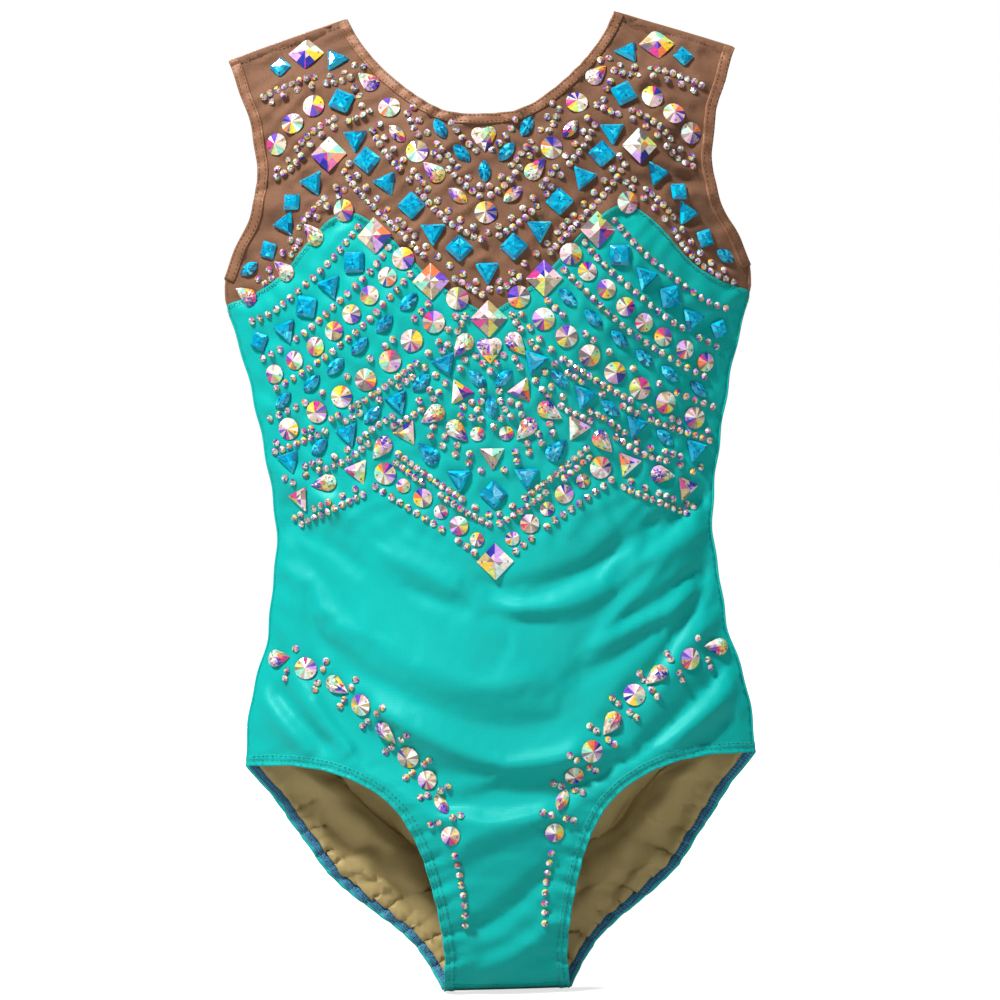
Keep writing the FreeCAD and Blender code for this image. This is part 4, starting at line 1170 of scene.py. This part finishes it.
class Placed:
    """Where one CAD stone is: its middle, the way its tip points, its size and its height."""
    CLEARANCE = 0.25
    HIGHEST_SEAT = 1.4

    def __init__(self, points):
        x, z = points[:, 0].mean(), points[:, 2].mean()
        normal = normals_of_skin(FRONT, x, z)
        height = points @ normal
        base = points[height < height.min() + 0.25]
        middle = base.mean(axis=0)
        tip = base[np.argmax(np.linalg.norm(base - middle, axis=1))] - middle
        self.tip = tip / np.linalg.norm(tip)
        across = np.cross(self.tip, normal)
        along, wide = (base - middle) @ self.tip, (base - middle) @ across
        self.length, self.width = np.ptp(along), np.ptp(wide)
        self.centre = middle + self.tip * (along.max() + along.min()) / 2
        self.centre = self.centre + across * (wide.max() + wide.min()) / 2
        flat = np.array([self.centre[0], SKINS[FRONT].y(self.centre[0], self.centre[2]), self.centre[2]])
        self.lift = float((self.centre - flat) @ normal)

    def axes(self):
        """The stone's own directions on the draped fabric, and its middle, in millimetres."""
        x, z = self.centre[0], self.centre[2]
        normal = normals(FRONT, x, z, self.width * 0.4)
        tip = self.tip - normal * (self.tip @ normal)
        tip /= np.linalg.norm(tip)
        across = np.cross(tip, normal)
        middle = surface(FRONT, x, z) / MM
        turns = np.radians(np.arange(0, 360, 45))
        ring = np.outer(np.cos(turns) * self.width, across) + np.outer(np.sin(turns) * self.length, tip)
        rim = middle + 0.42 * ring
        highs = (surface(FRONT, rim[:, 0], rim[:, 2]) / MM - middle) @ normal
        seat = min(max(highs.mean(), 0.0) + self.CLEARANCE, self.HIGHEST_SEAT)
        return middle + normal * (self.lift + seat), np.column_stack([across, tip, normal])


def normals_of_skin(side, x, z, reach=1.0):
    """The outward direction of the undraped skin at one point."""
    skin = SKINS[side]
    across = np.array([2 * reach, skin.y(x + reach, z) - skin.y(x - reach, z), 0.0])
    up = np.array([0.0, skin.y(x, z + reach) - skin.y(x, z - reach), 2 * reach])
    out = np.cross(across, up)
    out *= np.sign(out[1]) * side
    return out / np.linalg.norm(out)


def stone_group(node, cut, palette, material, slot):
    """All the stones of one CAD node, re-cut in detail where the CAD has them."""
    vertices, faces, colours, holes = [], [], [], []
    for points in STONES[node]:
        placed = Placed(points)
        centre, axes = placed.axes()
        shape, facets = cut.mesh(placed.width, placed.length)
        first = len(vertices)
        vertices += list((centre + shape @ axes.T) * MM)
        faces += [tuple(first + i for i in facet) for facet in facets]
        colours += list(facet_tints(shape, facets, *palette))
        for x, y in cut.hole_spots(placed.width, placed.length):
            holes.append((centre, axes, x, y, cut, placed))
    obj = mesh_object(node, vertices, faces)
    tint = obj.data.attributes.new("tint", "FLOAT_COLOR", "FACE")
    tint.data.foreach_set("color", np.array(colours, float).ravel())
    dress(obj, material, slot, node)
    if holes:
        sewing_holes(node + "_holes", holes, slot)


# The ring round a sewing hole: its radius and height at each corner, in millimetres.
HOLE_PROFILE = ((0.62, -0.12), (0.62, 0.06), (0.3, 0.06), (0.3, -0.12))
HOLE_SIDES = 10


def sewing_holes(name, holes, slot):
    """Small dark rings that stand for the drilled holes in sew-on stones: painted shade in the holes."""
    vertices, faces = [], []
    for centre, axes, x, y, cut, placed in holes:
        shape, facets = cut.mesh(placed.width, placed.length)
        tree = BVHTree.FromPolygons([Vector(v) for v in shape], facets)
        hit, facing, *_ = tree.ray_cast(Vector((x, y, 20)), Vector((0, 0, -1)))
        if not hit:
            continue
        facing = facing if facing.z > 0 else -facing
        turn = facing.to_track_quat("Z", "Y").to_matrix()
        first = len(vertices)
        for radius, level in HOLE_PROFILE:
            for k in range(HOLE_SIDES):
                angle = 2 * math.pi * k / HOLE_SIDES
                local = hit + turn @ Vector((radius * math.cos(angle), radius * math.sin(angle), level))
                vertices.append((centre + axes @ np.array(local)) * MM)
        for ring in range(len(HOLE_PROFILE)):
            low, high = first + ring * HOLE_SIDES, first + (ring + 1) % len(HOLE_PROFILE) * HOLE_SIDES
            for k in range(HOLE_SIDES):
                after = (k + 1) % HOLE_SIDES
                faces.append((low + k, low + after, high + after, high + k))
    dress(mesh_object(name, vertices, faces), HOLE, slot)


def crystals():
    for node, cut in CUTS.items():
        ab = node.startswith("ab_")
        if ab:
            stone_group(node, cut, (PEARL, AURORA, 0.62), AB, "ab_crystal")
        else:
            calm = OCEAN[:4] if cut.rings == TABLE else OCEAN
            stone_group(node, cut, (calm, OCEAN, 0.2), BLUE, "blue_crystal")
    for node in BEAD_NODES:
        stone_group(node, BEAD_CUT, (DEW, AURORA, 0.5), BEAD, "bead_crystal")


# ------------------------------------------------------------------ stage

def backdrop():
    """A plain pale floor, white in the distance. It glows for the camera only, so it lights nothing."""
    reach = 8
    level = -0.0012
    corners = [(-reach, -reach, level), (reach, -reach, level), (reach, reach, level), (-reach, reach, level)]
    floor = mesh_object("floor", corners, [(0, 1, 2, 3)])
    look = Look("paper", roughness=0.9, Specular_IOR_Level=0.0)
    look.paint(look.blend(look.cloud(3, 2), colour(176, 176, 176), colour(184, 184, 184)))
    look.shader.inputs["Emission Color"].default_value = (1, 1, 1, 1)
    away = look.nodes.new("ShaderNodeVectorMath")
    away.operation = "LENGTH"
    look.links.new(look.nodes.new("ShaderNodeNewGeometry").outputs["Position"], away.inputs[0])
    glow = look.nodes.new("ShaderNodeMapRange")
    glow.inputs["From Min"].default_value, glow.inputs["From Max"].default_value = 0.5, 1.3
    glow.inputs["To Min"].default_value, glow.inputs["To Max"].default_value = 0.72, 1.0
    look.links.new(away.outputs["Value"], glow.inputs["Value"])
    faded = look.nodes.new("ShaderNodeMath")
    faded.operation = "MULTIPLY"
    look.links.new(glow.outputs["Result"], faded.inputs[0])
    look.links.new(look.nodes.new("ShaderNodeLightPath").outputs["Is Camera Ray"], faded.inputs[1])
    look.links.new(faded.outputs[0], look.shader.inputs["Emission Strength"])
    floor.data.materials.append(look.material)


def lamp(name, where, target, size, power, tone=(1, 1, 1)):
    data = bpy.data.lights.new(name, "AREA")
    data.shape, data.size, data.energy, data.color = "SQUARE", size, power, tone
    obj = bpy.data.objects.new(name, data)
    obj.location = where
    obj.rotation_euler = (Vector(target) - Vector(where)).to_track_quat("-Z", "Y").to_euler()
    bpy.context.scene.collection.objects.link(obj)


def lights():
    lamp("key", (-0.85, -1.0, 2.0), (0, 0, 0.3), 0.34, 70)
    lamp("fill", (0.55, -2.1, 0.12), (0, 0, 0.2), 1.0, 11)
    lamp("back", (-0.95, 1.25, 1.9), (0, 0, 0.3), 0.5, 44)
    world = bpy.data.worlds.new("studio")
    world.use_nodes = True
    tree = world.node_tree
    seen = tree.nodes.new("ShaderNodeLightPath").outputs["Is Camera Ray"]
    strength = tree.nodes.new("ShaderNodeMapRange")
    strength.inputs["To Min"].default_value, strength.inputs["To Max"].default_value = 0.12, 1.0
    tree.links.new(seen, strength.inputs["Value"])
    tree.links.new(strength.outputs["Result"], tree.nodes["Background"].inputs["Strength"])
    tree.nodes["Background"].inputs["Color"].default_value = (1, 1, 1, 1)
    bpy.context.scene.world = world
    bpy.context.scene.view_settings.view_transform = "Standard"


def camera():
    """Square on to the front from the photo's distance, tipped a little to one side."""
    view_width, aside, height, tip = 0.638, 0.004, 0.312, 1.55
    data = bpy.data.cameras.new("camera")
    data.lens = 90
    data.sensor_width = 36
    obj = bpy.data.objects.new("camera", data)
    obj.location = (aside, -view_width * data.lens / data.sensor_width, height)
    obj.rotation_euler = (math.radians(90), math.radians(tip), 0)
    bpy.context.scene.collection.objects.link(obj)
    bpy.context.scene.camera = obj


# ------------------------------------------------------------------ build

HALVES = ((FRONT, HEART, FRONT_LEG, FRONT_NECK), (BACK, BACK_TOP, BACK_LEG, BACK_NECK))
for half, top_line, leg_line, neck_line in HALVES:
    body_panel(half, top_line, leg_line)
    yoke(half, neck_line, top_line)
    lining(half, top_line, leg_line)
gusset()
neck_binding()
arm_bindings()
leg_hems()
top_edges()
seams()
crystals()
backdrop()
lights()
camera()
